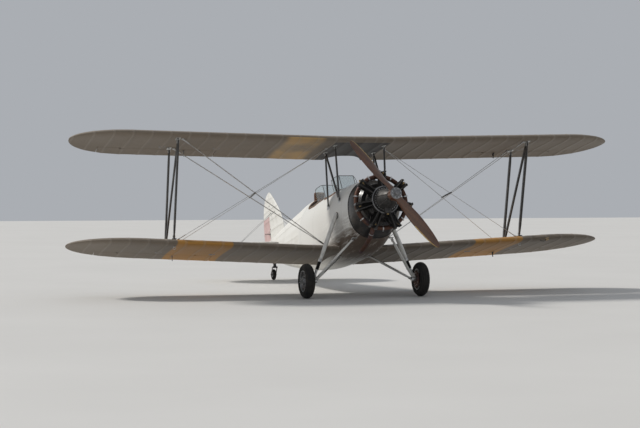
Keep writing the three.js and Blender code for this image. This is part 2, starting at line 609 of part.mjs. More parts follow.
const BARREL = {
  foot: PAD + SEAT, flange: 66, root: 50, fin: 68, fins: 4, from: 214, pitch: 38, thick: 14, top: 366,
};
const HEAD = { width: 132, depth: 124, from: 360, to: 424 };
const ROCKER = { width: 40, depth: 96, height: 52, out: 38, ahead: 8, below: 40, tilt: 0.3 };
const PUSHROD = { thickness: 16, foot: [27, -98, 179], head: [43, -47, 418] };
const INTAKE = { thickness: 32, path: [[52, 136, 244], [54, 92, 330], [50, 58, 384]] };
function cylinderBody(angle) {
  const fins = Array.from({ length: BARREL.fins }, (_, i) => BARREL.from + i * BARREL.pitch)
    .flatMap((low) => [[BARREL.root, low], [BARREL.fin, low], [BARREL.fin, low + BARREL.thick],
      [BARREL.root, low + BARREL.thick]]);
  const barrel = turnedUp([[0, BARREL.foot], [BARREL.flange, BARREL.foot], [BARREL.flange, BARREL.foot + 9],
    [BARREL.root, BARREL.foot + 9], ...fins, [BARREL.root, BARREL.top], [0, BARREL.top]], 10);
  const head = box(HEAD.width, HEAD.depth, HEAD.to - HEAD.from, 0, 0, (HEAD.to + HEAD.from) / 2);
  const rockers = [-1, 1].map((side) => solid(new THREE.BoxGeometry(ROCKER.width, ROCKER.depth, ROCKER.height)
    .rotateY(side * ROCKER.tilt).translate(side * ROCKER.out, -ROCKER.ahead, CYLINDER_TOP - ROCKER.below)));
  const pushrods = [-1, 1].map((side) => {
    const [foot, top] = [PUSHROD.foot, PUSHROD.head].map(([x, y, z]) => at(side * x, y, z));
    return bar(foot, top, PUSHROD.thickness, PUSHROD.thickness, 6);
  });
  const bends = INTAKE.path.map((point) => at(...point));
  const intake = bends.slice(1).map((bend, i) => bar(bends[i], bend, INTAKE.thickness, INTAKE.thickness, 6));
  const raw = joined(barrel, head, ...rockers, ...pushrods, ...intake);
  return raw.intersect(box(400, 400, CYLINDER_TOP, 0, 0, CYLINDER_TOP / 2))
    .rotate([0, THREE.MathUtils.radToDeg(angle), 0]).translate([0, CYLINDER_AFT, 0]);
}

cylinderAngles.forEach((angle, i) => piece(`cylinder_${i + 1}`, cylinderBody(angle), DARK_PAINT()));

// Exhaust collector ring behind the cylinders, with a stub to each head and one pipe under the belly
const RING = { radius: 398, tube: 34, aft: -1738, stub: 19 };
const PIPE_ANGLE = THREE.MathUtils.degToRad(180 + 22);
const PIPE = {
  radius: 32, bends: [[8, -1690, -440], [12, -1580, -520], [12, -1380, -590], [12, -1120, -650]],
};
const ringShape = solid(new THREE.TorusGeometry(RING.radius, RING.tube, 6, 21).rotateX(Math.PI / 2)
  .translate(0, RING.aft, 0));
const around = (angle, radius, aft) => at(Math.sin(angle) * radius, aft, Math.cos(angle) * radius);
const stubs = cylinderAngles.map((angle) => bar(around(angle, RING.radius, RING.aft),
  around(angle, RING.radius, CYLINDER_AFT + HEAD.depth / 2 + SEAT), 2 * RING.stub, 2 * RING.stub, 6,
  at(Math.cos(angle), 0, -Math.sin(angle))));
const ringLow = around(PIPE_ANGLE, RING.radius, RING.aft);
const pipeBends = PIPE.bends.map(([out, y, z]) => at(ringLow.x - out, y, z));
const pipePath = new THREE.CatmullRomCurve3([ringLow, ...pipeBends]);
const pipeSection = new THREE.Shape().absarc(0, 0, PIPE.radius, 0, 2 * Math.PI);
const pipe = solid(new THREE.ExtrudeGeometry(pipeSection,
  { steps: 7, curveSegments: 4, extrudePath: pipePath }));
piece('exhaust_ring', joined(ringShape, pipe, ...stubs), EXHAUST());

// Propeller: radius, blade width, blade thickness
const BLADE = [[60, 120, 92], [160, 128, 70], [300, 150, 46], [480, 166, 33], [660, 158, 25], [820, 134, 19],
  [940, 100, 14], [1005, 62, 10], [PROPELLER_RADIUS, 24, 7]];
const PITCH = 1500; // forward travel in one turn
function bladeRing([radius, width, thickness]) {
  const twist = Math.atan(PITCH / (2 * Math.PI * Math.max(radius, 150)));
  return Array.from({ length: 10 }, (_, i) => {
    const angle = (i / 10) * 2 * Math.PI;
    const across = Math.cos(angle) * width / 2;
    const deep = Math.sin(angle) * thickness / 2 * (Math.sin(angle) > 0 ? 0.6 : 1.4);
    return at(across * Math.cos(twist) - deep * Math.sin(twist),
      across * Math.sin(twist) + deep * Math.cos(twist), radius);
  });
}
const HUB = { boss: 92, half: 62, plate: 88, plateThick: 12, nut: 34, shaft: 30 };
const hubBore = 2 * boreFor(HUB.shaft, 16);
const blade = loft(BLADE.map(bladeRing));
const boss = turned([[0, -HUB.half], [HUB.boss, -HUB.half], [HUB.boss, HUB.half], [0, HUB.half]], 20);
const tiltDegrees = THREE.MathUtils.radToDeg(PROPELLER_TILT);
piece('propeller', joined(blade, blade.rotate([0, 180, 0]), boss).rotate([0, -tiltDegrees, 0])
  .subtract(bar(at(0, -HUB.half - 40, 0), at(0, HUB.half + 40, 0), hubBore, hubBore, 16, at(0, 0, 1)))
  .translate([0, PROPELLER_AFT, 0]), VARNISHED_WOOD());
const hubFront = PROPELLER_AFT - HUB.half - SEAT;
piece('propeller_hub', turned([
  [0, hubFront - 52], [24, hubFront - 52], [HUB.nut, hubFront - 42], [HUB.nut, hubFront - HUB.plateThick],
  [HUB.plate, hubFront - HUB.plateThick], [HUB.plate, hubFront], [HUB.shaft, hubFront],
  [HUB.shaft, ENGINE_FRONT - SEAT], [0, ENGINE_FRONT - SEAT],
], 16), BARE_STEEL());

// Cockpits: windscreen, instrument panel, seat and cushion in each
const insideCabin = fuselageBody(CABIN.from + 1, CABIN.to - 1,
  { side: SKIN + SEAT, floor: CABIN.floor + SEAT, roof: SKIN + SEAT });
const SCREEN = {
  plan: [[-215, 150], [-120, 0], [120, 0], [215, 150]], ahead: 85, sunk: 90, height: 330, thick: 7,
};
const SCREEN_LEAN = Math.tan(THREE.MathUtils.degToRad(28));
const screenLean = new THREE.Matrix4().set(1, 0, 0, 0, 0, 1, SCREEN_LEAN, 0, 0, 0, 1, 0, 0, 0, 0, 1);
const screenStrip = [...SCREEN.plan, ...SCREEN.plan.map(([x, y]) => [x * 0.975, y + SCREEN.thick]).reverse()];
const screenShape = new THREE.Shape(screenStrip.map(([x, y]) => new THREE.Vector2(x, y)));
const PANEL = { thick: 16, height: 290, middle: 350, ahead: 24 };
const CHAIR = {
  width: 400, depth: 380, pan: -300, back: 430, sheet: 14, fromEdge: 110, sides: 130, leg: 30, legOut: 140,
};
const CUSHION = { thick: 70, margin: 12 };
for (const { name, from, to } of COCKPITS) {
  const screen = solid(new THREE.ExtrudeGeometry(screenShape, { depth: SCREEN.height, bevelEnabled: false })
    .applyMatrix4(screenLean).translate(0, from - SCREEN.ahead, sectionAt(from)[4] - SCREEN.sunk));
  piece(`windscreen_${name}`, biggest(screen.subtract(grownFuselage)), CLEAR_PANE());

  const panel = box(800, PANEL.thick, PANEL.height, 0, from - PANEL.ahead, PANEL.middle);
  piece(`instrument_panel_${name}`, panel.intersect(insideCabin), DARK_PAINT());

  const { width, depth, pan, back, sheet } = CHAIR;
  const backAft = to - CHAIR.fromEdge;
  const middle = backAft - depth / 2;
  const chair = joined(
    box(width, depth, sheet, 0, middle, pan),
    box(width, sheet, back, 0, backAft, pan + back / 2),
    ...[-1, 1].map((side) => box(sheet, depth, CHAIR.sides, side * (width - sheet) / 2, middle,
      pan + CHAIR.sides / 2)),
    ...[-1, 1].map((side) => box(CHAIR.leg, depth - 60, 400, side * CHAIR.legOut, middle, pan - 200)),
  );
  piece(`seat_${name}`, chair.intersect(insideCabin), GREY_METAL());
  const cushion = box(width - 2 * (sheet + CUSHION.margin), depth - sheet - 2 * CUSHION.margin, CUSHION.thick,
    0, middle - 4, pan + sheet / 2 + SEAT + CUSHION.thick / 2);
  piece(`seat_cushion_${name}`, cushion, LEATHER());
}

const HEADREST = { width: 190, depth: 75, height: 190, aft: 1292, middle: 700 };
const headrest = box(HEADREST.width, HEADREST.depth, HEADREST.height, 0, HEADREST.aft, HEADREST.middle);
piece('headrest', headrest.subtract(grownFuselage), LEATHER());

const group = new THREE.Group();
aircraft.rotation.x = -GROUND_ANGLE;
aircraft.position.set(0, -BOX_CENTRE_AFT, LIFT);
group.add(aircraft);
export default group;
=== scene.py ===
"""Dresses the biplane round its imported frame: fabric, paint, engine, rigging, cockpits and the stage."""
import functools
import json
import math

import bmesh
import bpy
from bpy.props import FloatProperty, FloatVectorProperty, IntProperty, PointerProperty
from mathutils import Matrix, Vector

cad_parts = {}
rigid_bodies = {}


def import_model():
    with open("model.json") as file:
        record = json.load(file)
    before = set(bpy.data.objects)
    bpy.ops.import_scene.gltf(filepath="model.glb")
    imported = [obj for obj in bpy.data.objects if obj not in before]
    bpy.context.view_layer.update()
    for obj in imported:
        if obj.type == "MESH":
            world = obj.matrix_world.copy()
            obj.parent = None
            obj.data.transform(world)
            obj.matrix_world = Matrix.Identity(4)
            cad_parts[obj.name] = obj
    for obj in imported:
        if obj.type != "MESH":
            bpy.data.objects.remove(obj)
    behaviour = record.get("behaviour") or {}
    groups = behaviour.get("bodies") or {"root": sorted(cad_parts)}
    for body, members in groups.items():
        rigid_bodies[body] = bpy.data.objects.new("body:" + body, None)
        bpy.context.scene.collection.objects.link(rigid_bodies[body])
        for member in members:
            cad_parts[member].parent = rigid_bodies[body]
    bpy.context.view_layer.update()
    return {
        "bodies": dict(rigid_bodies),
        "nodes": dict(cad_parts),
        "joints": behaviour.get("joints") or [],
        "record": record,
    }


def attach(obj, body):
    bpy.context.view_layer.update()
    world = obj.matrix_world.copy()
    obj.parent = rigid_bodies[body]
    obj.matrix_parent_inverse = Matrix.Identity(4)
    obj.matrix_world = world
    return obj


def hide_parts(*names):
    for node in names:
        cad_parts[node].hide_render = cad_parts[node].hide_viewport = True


bl_info = {
    "name": "Training biplane",
    "version": (1, 0, 0),
    "blender": (4, 5, 0),
    "location": "3D View > Sidebar > Biplane",
    "description": "Fabric, paint, engine, rigging and cockpits of a two-seat biplane",
    "category": "Add Mesh",
}

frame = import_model()

# The level aircraft: x to port, y aft of the lower wing's root, z over the shaft, in metres
PORT, AFT, UP = Vector((1, 0, 0)), Vector((0, 1, 0)), Vector((0, 0, 1))
PROPELLER_AFT = -2.360
JOINTS = {joint["name"]: joint for joint in frame["joints"]}
SHAFT = Vector(JOINTS["propeller_spin"]["axis"]).normalized()
AXES = Matrix((PORT, SHAFT, PORT.cross(SHAFT))).transposed()
ORIGIN = Vector(JOINTS["propeller_spin"]["pos_m"]) - AXES @ Vector((0, PROPELLER_AFT, 0))
PARKED = Matrix.Translation(ORIGIN) @ AXES.to_4x4()
LEVEL = PARKED.inverted()
SIDES = (("left", 1), ("right", -1))

HALF_SPAN = 4.500
HINGE_GAP = 0.008
FIREWALL = -1.350
SPLIT = 1.500
SKIN = 0.035
CLEAR = 0.0003


# Property groups
def metres(name, description, default):
    return FloatProperty(name=name, description=description, default=default, unit="LENGTH")


def tint(name, description, default):
    return FloatVectorProperty(name=name, description=description, default=default, subtype="COLOR")


class BiplaneSizes(bpy.types.PropertyGroup):
    """Sizes that a user may change."""

    rib_pitch: metres("Rib pitch", "Between two wing ribs", 0.285)
    fabric_dip: metres("Fabric dip", "Sag of the cloth between ribs", 0.005)
    tape: metres("Tape width", "Width of the tape over each rib", 0.036)
    cooling_fins: IntProperty(name="Cooling fins", description="Fins on each barrel", default=19, min=4,
                              max=40)
    wire: metres("Wire", "Thickness of a bracing wire", 0.007)
    rivet: metres("Rivet head", "Radius of a rivet head", 0.0038)


class BiplaneColours(bpy.types.PropertyGroup):
    """Colours that a user may change."""

    white: tint("White", "Fuselage and tail", (0.73, 0.72, 0.68))
    cloth: tint("Cloth", "Doped wing cloth", (0.180, 0.146, 0.110))
    # The lower wing's band: painted amber glow of sunlight through the cloth
    amber: tint("Amber", "Bands on the wings", (0.46, 0.225, 0.045))
    red: tint("Red", "Faded band on the tail", (0.40, 0.13, 0.13))
    black: tint("Black", "Nose and struts", (0.016, 0.015, 0.015))
    wood: tint("Wood", "Propeller", (0.085, 0.033, 0.014))
    leather: tint("Leather", "Cockpit trim", (0.105, 0.043, 0.021))


def sizes():
    return bpy.context.scene.biplane_sizes


def colours():
    return bpy.context.scene.biplane_colours


# Shader maths
def add_node(tree, kind, settings, inputs):
    """A node with its settings set first, then the values or links of its sockets."""
    made = tree.nodes.new(kind)
    for name, value in (settings or {}).items():
        setattr(made, name, value)
    for key, value in (inputs or {}).items():
        source = getattr(value, "socket", value)
        if isinstance(source, bpy.types.NodeSocket):
            tree.links.new(source, made.inputs[key])
        else:
            made.inputs[key].default_value = value
    return made


class Value:
    """A number or colour inside a material; an expression on it adds the nodes that it needs."""

    def __init__(self, paint, socket):
        self.paint = paint
        self.socket = socket

    def maths(self, operation, *values):
        return self.paint.node("ShaderNodeMath", {"operation": operation}, dict(enumerate(values)))

    def __add__(self, other):
        return self.maths("ADD", self, other)

    def __sub__(self, other):
        return self.maths("SUBTRACT", self, other)

    def __rsub__(self, other):
        return self.maths("SUBTRACT", other, self)

    def __mul__(self, other):
        return self.maths("MULTIPLY", self, other)

    def __truediv__(self, other):
        return self.maths("DIVIDE", self, other)

    __radd__ = __add__
    __rmul__ = __mul__

    def size(self):
        """The value without its sign."""
        return self.maths("ABSOLUTE", self)

    def phase(self):
        """The part after the decimal point."""
        return self.maths("FRACT", self)

    def over(self, edge, soft=0.004):
        """0 below the edge, 1 above it, with a soft step between."""
        return self.paint.node("ShaderNodeMapRange", {"interpolation_type": "SMOOTHSTEP"},
                               {"Value": self, "From Min": edge - soft / 2, "From Max": edge + soft / 2})

    def between(self, low, high, soft=0.004):
        return self.over(low, soft) * (1 - self.over(high, soft))


class Paint:
    """One material: a principled shader and short names for the nodes that vary it over the surface."""

    def __init__(self, name, roughness=0.5, **constants):
        self.material = bpy.data.materials.new(name)
        self.material.use_nodes = True
        self.tree = self.material.node_tree
        self.shader = self.tree.nodes["Principled BSDF"]
        self.shader.inputs["Roughness"].default_value = roughness
        for socket, value in constants.items():
            self.shader.inputs[socket.replace("_", " ").title().replace("Ior", "IOR")].default_value = value

    def node(self, kind, settings=None, inputs=None, output=0):
        return Value(self, add_node(self.tree, kind, settings, inputs).outputs[output])

    def level(self, stretch=(1, 1, 1)):
        """Object coordinates turned to the level aircraft's axes and stretched."""
        raw = self.node("ShaderNodeTexCoord", output="Object")
        turned = self.node("ShaderNodeMapping", {}, {"Vector": raw, "Location": LEVEL.translation,
                                                     "Rotation": LEVEL.to_euler()})
        return self.node("ShaderNodeVectorMath", {"operation": "MULTIPLY"}, {0: turned, 1: stretch})

    def part(self, vector, name):
        """One of a vector's three numbers."""
        return self.node("ShaderNodeSeparateXYZ", {}, {0: vector}, "XYZ".index(name))

    def axis(self, name):
        return self.part(self.level(), name)

    def noise(self, scale, detail=2.0, stretch=(1, 1, 1), roughness=0.5):
        return self.node("ShaderNodeTexNoise", {}, {"Vector": self.level(stretch), "Scale": scale,
                                                    "Detail": detail, "Roughness": roughness})

    def cells(self, scale):
        return self.node("ShaderNodeTexVoronoi", {}, {"Vector": self.level(), "Scale": scale})

    def blend(self, share, first, second):
        """A colour between two colours."""
        def four(colour):
            return colour if isinstance(colour, Value) else (*tuple(colour)[:3], 1)
        return self.node("ShaderNodeMix", {"data_type": "RGBA", "clamp_factor": True},
                         {0: share, 6: four(first), 7: four(second)}, 2)

    def bump(self, height, distance, strength=1.0, below=None):
        sockets = {"Height": height, "Distance": distance, "Strength": strength}
        if below is not None:
            sockets["Normal"] = below
        return self.node("ShaderNodeBump", {}, sockets)

    def finish(self, **sockets):
        """Feeds the shader's sockets and gives the material back."""
        for name, value in sockets.items():
            socket = self.shader.inputs["Base Color" if name == "colour" else name.title()]
            if isinstance(value, Value):
                self.tree.links.new(value.socket, socket)
            else:
                socket.default_value = value if name != "colour" else (*tuple(value)[:3], 1)
        return self.material


def shade(colour, *factors):
    """A colour times one number, or times a number for each of its three channels."""
    return [c * f for c, f in zip(colour, factors if len(factors) == 3 else 3 * factors)]


# Finishes
FUSELAGE_LINES = (-1.02, -0.46, 0.49, 1.34)
STRINGERS = 20
WOOD_LAYER = 0.0185
# Painted amber glow of sunlight through the cloth, as a band out along each lower wing
LOWER_GLOW_BAND = (2.02, 2.88)
# A faint painted amber glow through the cloth, under the starboard upper wing
UPPER_GLOW_PATCH = (-1.22, -0.66)
# The near-black area under the centre section: how far out, from where aft, below what height
DARK_AREA_OUT = 0.452
DARK_AREA_FRONT = -1.13
DARK_AREA_TOP = 1.085


@functools.cache
def white_fabric():
    """Doped cloth over the rear fuselage, with the belly a little soiled."""
    paint = Paint("white_fabric", sheen_weight=0.08, specular_ior_level=0.4)
    mottle = paint.noise(1.7, 4)
    weave = paint.noise(420, 2)
    streak = paint.noise(5, 5, (2.2, 0.35, 2.2), 0.65)
    low = 1 - paint.axis("Z").over(-0.05, 0.9)
    soil = (streak.over(0.5, 0.35) * low * 0.55 + mottle.over(0.62, 0.3) * 0.12)
    tone = paint.blend(mottle * 0.35, colours().white, shade(colours().white, 0.9))
    tone = paint.blend(soil, tone, (0.34, 0.29, 0.22))
    grain = paint.bump(weave, 0.0006, 0.5)
    return paint.finish(colour=tone, roughness=0.42 + mottle * 0.16 + soil * 0.2,
                        normal=paint.bump(mottle, 0.004, 0.25, grain))


def tail_cloth(name, across, first, pitch, band=False):
    """White cloth with a tape over each rib; `across` is the axis that the ribs are counted along."""
    paint = Paint(name, sheen_weight=0.08, specular_ior_level=0.4)
    off_rib = (((paint.axis(across).size() - first) / pitch + 0.5).phase() - 0.5).size() * pitch
    tape = 1 - off_rib.over(TAIL_TAPE, 0.003)
    edge = off_rib.between(TAIL_TAPE - 0.001, TAIL_TAPE + 0.0025, 0.002)
    mottle = paint.noise(2.3, 4)
    worn = paint.noise(14, 6, (1, 1, 1), 0.7)
    tone = paint.blend(mottle * 0.4, colours().white, shade(colours().white, 0.86))
    tone = paint.blend(worn.over(0.56, 0.25) * 0.22, tone, (0.40, 0.36, 0.29))
    if band:
        painted_on = (paint.axis("Z").between(*RUDDER_BAND, 0.012)
                      * paint.axis("Y").over(RUDDER_HINGE + 0.03, 0.01))
        tone = paint.blend(painted_on * (0.34 + worn * 0.5), tone, colours().red)
    tone = paint.blend(edge * 0.4, tone, (0.24, 0.22, 0.20))
    weave = paint.bump(paint.noise(420, 2), 0.0006, 0.5)
    return paint.finish(colour=tone, roughness=0.42 + mottle * 0.18,
                        normal=paint.bump(tape + worn * 0.2, 0.0007, 0.5, weave))


@functools.cache
def tail_fabric():
    return tail_cloth("tail_fabric", "Z", FIN_RIBS[0], FIN_RIBS[1] - FIN_RIBS[0], True)


@functools.cache
def tailplane_fabric():
    return tail_cloth("tailplane_fabric", "X", TAILPLANE_RIBS[0], TAILPLANE_RIBS[1] - TAILPLANE_RIBS[0])


@functools.cache
def white_panels():
    """Painted metal front panels: dark joints, oily streaks drawn back from the engine, belly part oily, part
    painted shade.
    """
    paint = Paint("white_panels", coat_weight=0.25, coat_roughness=0.25)
    aft = paint.axis("Y")
    joint = functools.reduce(Value.__add__, (aft.between(line - 0.0015, line + 0.0015, 0.002)
                                             for line in FUSELAGE_LINES))
    mottle = paint.noise(2.2, 3)
    streak = paint.noise(7, 6, (2.5, 0.28, 2.5), 0.7)
    low = 1 - paint.axis("Z").over(-0.20, 0.56)
    near = 1 - aft.over(-0.3, 2.2)
    # The belly under the nose darkened: partly oily soaking, partly painted shade
    belly_oil_and_shade = (1 - paint.axis("Z").over(-0.40, 0.30)) * (1 - aft.over(-0.10, 1.3))
    oil_and_shade = streak.over(0.44, 0.3) * low * near * 0.95 + belly_oil_and_shade * (0.45 + streak * 0.5)
    tone = paint.blend(mottle * 0.3, colours().white, shade(colours().white, 0.93))
    # Oily streaks and the belly's painted shade, in a dark brown
    tone = paint.blend(oil_and_shade, tone, (0.12, 0.085, 0.06))
    tone = paint.blend(joint * 0.75, tone, (0.08, 0.075, 0.07))
    return paint.finish(colour=tone, roughness=0.30 + mottle * 0.14 + oil_and_shade * 0.2,
                        normal=paint.bump(mottle - joint * 2, 0.0015, 0.5))


def wing_cloth(name, band=None, underside_glow=None, panel=False):
    """Doped cloth with rib tapes: painted amber glow as a band round it or faint under it, or a near-black
    area under it.
    """
    paint = Paint(name, sheen_weight=0.08, specular_ior_level=0.3)
    across = paint.axis("X").size()
    mottle = paint.noise(1.3, 5, (1, 1, 1), 0.6)
    fine = paint.noise(26, 4, (1, 0.4, 1))
    pitch, half = sizes().rib_pitch, sizes().tape / 2
    off_rib = (((across - RIB_FIRST) / pitch + 0.5).phase() - 0.5).size() * pitch
    tape = 1 - off_rib.over(half, 0.004)
    edge = off_rib.between(half - 0.002, half + 0.004, 0.003)
    tone = paint.blend(mottle.over(0.5, 0.5) * 0.45, colours().cloth,
                       shade(colours().cloth, 0.78, 0.76, 0.74))
    tone = paint.blend(fine * 0.14, tone, (0.36, 0.32, 0.27))
    # A band of painted amber glow: sunlight shining through the lower wing's cloth
    if band:
        tone = paint.blend(across.between(*band, 0.025) * (0.82 + mottle * 0.18), tone, colours().amber)
    # A faint painted amber glow of light through the cloth, on the underside only
    if underside_glow:
        below = 1 - paint.part(paint.node("ShaderNodeNewGeometry", output="Normal"), "Z").over(0, 0.3)
        glow_mask = paint.axis("X").between(*underside_glow, 0.12) * below * mottle.over(0.45, 0.3)
        tone = paint.blend(glow_mask * 0.8, tone, (0.56, 0.36, 0.15))
    tone = paint.blend(tape * 0.12, tone, (0.48, 0.44, 0.39))
    tone = paint.blend(edge * 0.32, tone, (0.16, 0.14, 0.12))
    # A near-black area under the centre section, between the cabane struts
    if panel:
        dark = (1 - paint.axis("Z").over(DARK_AREA_TOP, 0.006)) * (1 - across.over(DARK_AREA_OUT, 0.004))
        dark = dark * paint.axis("Y").over(DARK_AREA_FRONT, 0.01)
        tone = paint.blend(dark * 0.88, tone, (0.035, 0.036, 0.04))
    weave = paint.bump(paint.noise(380, 2), 0.0006, 0.55)
    return paint.finish(colour=tone, roughness=0.56 + mottle * 0.2,
                        normal=paint.bump(tape + fine * 0.2, 0.0008, 0.6, weave))


@functools.cache
def upper_cloth():
    return wing_cloth("upper_wing_cloth", underside_glow=UPPER_GLOW_PATCH)


@functools.cache
def centre_cloth():
    return wing_cloth("centre_section_cloth", panel=True)


@functools.cache
def lower_cloth():
    return wing_cloth("lower_wing_cloth", band=LOWER_GLOW_BAND)


def enamel(name, colour, wear, base, roughness=0.34):
    """Glossy paint whose high spots are rubbed through to what is under it."""
    paint = Paint(name, coat_weight=0.3, coat_roughness=0.2)
    mottle = paint.noise(3.1, 4)
    chips = paint.noise(46, 6, (1, 1, 1), 0.72).over(0.70 - wear * 0.12, 0.035)
    grime = paint.noise(9, 5, (1, 0.5, 1), 0.65)
    tone = paint.blend(mottle * 0.5, colour, shade(colour, 0.72))
    tone = paint.blend(grime.over(0.58, 0.3) * 0.35, tone, (0.13, 0.105, 0.08))
    return paint.finish(colour=paint.blend(chips, tone, base), metallic=chips * 0.7,
                        roughness=roughness + mottle * 0.16 + chips * 0.15,
                        normal=paint.bump(mottle * 0.6 - chips * 0.3, 0.0012, 0.4))


@functools.cache
def nose_black():
    return enamel("nose_black", colours().black, 0.25, (0.30, 0.27, 0.24), 0.30)


@functools.cache
def strut_black():
    return enamel("strut_black", shade(colours().black, 1.4), 0.35, (0.28, 0.27, 0.26))


@functools.cache
def strut_white():
    return enamel("strut_white", shade(colours().white, 0.98), 0.25, (0.20, 0.18, 0.16))


@functools.cache
def cabin_primer():
    return enamel("cabin_primer", (0.25, 0.265, 0.225), 0.35, (0.34, 0.33, 0.30), 0.5)


def metal(name, colour, roughness, mottled, scale=22, grain=0.0006, metallic=1.0):
    """Bare metal with uneven tarnish and a fine cast or drawn grain."""
    paint = Paint(name)
    tarnish = paint.noise(scale, 5, (1, 1, 1), 0.62)
    fine = paint.noise(scale * 14, 3)
    return paint.finish(colour=paint.blend(tarnish.over(0.5, 0.45), colour, shade(colour, 1 - mottled)),
                        metallic=metallic, roughness=roughness + tarnish * 0.2,
                        normal=paint.bump(fine, grain, 0.5))


@functools.cache
def cast_metal():
    return metal("cast_metal", (0.088, 0.084, 0.081), 0.42, 0.45, 18, 0.0015, 0.8)


@functools.cache
def cylinder_black():
    return metal("cylinder_black", (0.034, 0.032, 0.031), 0.45, 0.5, 30, 0.001, 0.45)


@functools.cache
def bright_steel():
    return metal("bright_steel", (0.60, 0.60, 0.59), 0.24, 0.3)


@functools.cache
def wheel_metal():
    return metal("wheel_metal", (0.30, 0.30, 0.305), 0.38, 0.4)


@functools.cache
def brass():
    return metal("brass", (0.66, 0.46, 0.20), 0.3, 0.35)


@functools.cache
def heat_stained_steel():
    """Exhaust steel, brown with paler and bluish patches where it runs hottest."""
    paint = Paint("heat_stained_steel")
    rust = paint.noise(17, 6, (1, 1, 1), 0.7)
    hot = paint.noise(5, 3)
    tone = paint.blend(rust.over(0.48, 0.4), (0.062, 0.028, 0.020), (0.130, 0.064, 0.042))
    return paint.finish(colour=paint.blend(hot.over(0.6, 0.2) * 0.5, tone, (0.10, 0.09, 0.12)), metallic=0.55,
                        roughness=0.5 + rust * 0.3, normal=paint.bump(rust, 0.001, 0.6))


@functools.cache
def rubber():
    """Tyre rubber, a little dusty."""
    paint = Paint("rubber", specular_ior_level=0.3)
    dust = paint.noise(11, 6, (1, 1, 1), 0.7)
    tone = paint.blend(dust.over(0.5, 0.4) * 0.24, (0.014, 0.014, 0.015), (0.11, 0.095, 0.075))
    return paint.finish(colour=tone, roughness=0.75 + dust * 0.2,
                        normal=paint.bump(paint.noise(240, 3), 0.0008, 0.6))


@functools.cache
def laminated_wood():
    """Varnished laminations: layers across the shaft, with the grain running out along each blade."""
    paint = Paint("laminated_wood", coat_weight=0.7, coat_roughness=0.12)
    tilt = Matrix.Rotation(-PROPELLER_TILT, 4, "Y").to_euler()
    along = paint.node("ShaderNodeMapping", {}, {"Vector": paint.level(), "Rotation": tilt})
    drawn = paint.node("ShaderNodeVectorMath", {"operation": "MULTIPLY"}, {0: along, 1: (30, 34, 1.6)})
    grain = paint.node("ShaderNodeTexNoise", {}, {"Vector": drawn, "Scale": 1.6, "Detail": 6,
                                                  "Roughness": 0.6})
    layers = ((paint.axis("Y") - PROPELLER_AFT) / WOOD_LAYER).phase()
    darker = ((paint.axis("Y") - PROPELLER_AFT) / (2 * WOOD_LAYER)).phase().over(0.5, 0.02)
    glue = layers.between(-0.5, 0.05, 0.05)
    wood = colours().wood
    tone = paint.blend(grain.over(0.5, 0.5), wood, shade(wood, 1.5, 1.45, 1.35))
    tone = paint.blend(darker * 0.35, tone, shade(wood, 0.55))
    tone = paint.blend(glue * 0.7, tone, (0.03, 0.012, 0.006))
    return paint.finish(colour=tone, roughness=0.3 + grain * 0.12, normal=paint.bump(grain, 0.0004, 0.4))


@functools.cache
def brown_leather():
    paint = Paint("brown_leather", sheen_weight=0.1)
    pores = paint.cells(330)
    worn = paint.noise(19, 5)
    tone = paint.blend(worn.over(0.52, 0.3) * 0.6, colours().leather, shade(colours().leather, 2.1))
    return paint.finish(colour=tone, roughness=0.42 + worn * 0.22, normal=paint.bump(pores, 0.0008, 0.8))


@functools.cache
def webbing():
    """Woven harness strap."""
    paint = Paint("webbing", sheen_weight=0.3)
    weave = paint.noise(900, 1, (1, 0.3, 0.3))
    worn = paint.noise(21, 4)
    tone = paint.blend(worn * 0.6 + weave * 0.3, (0.38, 0.34, 0.24), (0.20, 0.17, 0.11))
    return paint.finish(colour=tone, roughness=0.86, normal=paint.bump(weave, 0.0008, 0.8))


@functools.cache
def clear_pane():
    """Thin acrylic with a faint green edge and a few scratches."""
    paint = Paint("clear_pane", roughness=0.05, ior=1.45, transmission_weight=0.92)
    scratch = paint.noise(60, 6, (1, 1, 12), 0.7).over(0.66, 0.06)
    return paint.finish(colour=(0.86, 0.93, 0.93), roughness=0.04 + scratch * 0.08)


@functools.cache
def dial_face():
    """A black dial with a pale ring of marks, its pattern taken from the dial's own map."""
    paint = Paint("dial_face", coat_weight=1.0, coat_roughness=0.03)
    spot = paint.node("ShaderNodeUVMap", {"uv_map": "dial"})
    turn, reach = paint.part(spot, "X"), paint.part(spot, "Y")
    ticks = (turn * 24).phase().between(0.40, 0.60, 0.06) * reach.between(0.70, 0.88, 0.02)
    hand = (turn - 0.62).size() * reach
    pointer = (1 - hand.over(0.012, 0.006)) * (1 - reach.over(0.66, 0.02))
    return paint.finish(colour=paint.blend(ticks + pointer, (0.012, 0.012, 0.013), (0.78, 0.76, 0.62)),
                        roughness=0.35)


@functools.cache
def pale_floor():
    paint = Paint("pale_floor")
    tone = paint.blend(paint.noise(0.5, 3), (0.60, 0.59, 0.57), (0.66, 0.65, 0.63))
    return paint.finish(colour=tone, roughness=0.7)


# Shapes: each gives its points and faces in the level aircraft's axes
ZERO = Vector((0, 0, 0))


def turns(count, start=0.0, more=0):
    """Even angles round a circle; `more` of them go round again."""
    return [2 * math.pi * (k + start) / count for k in range(count + more)]


def steps(low, high, count):
    """Even steps between two numbers, both ends among them."""
    return [low + (high - low) * k / count for k in range(count + 1)]


def within(value):
    """A number held between 0 and 1."""
    return min(1, max(0, value))


def bulged(value, power):
    """A sine or cosine raised to a power with its sign kept, which squares up a circle."""
    return math.copysign(abs(value) ** power, value)


def squared(angles, half_x, half_y, power):
    """[x, y] points round a circle that is pushed out towards its four corners."""
    return [(bulged(math.cos(angle), power) * half_x, bulged(math.sin(angle), power) * half_y)
            for angle in angles]


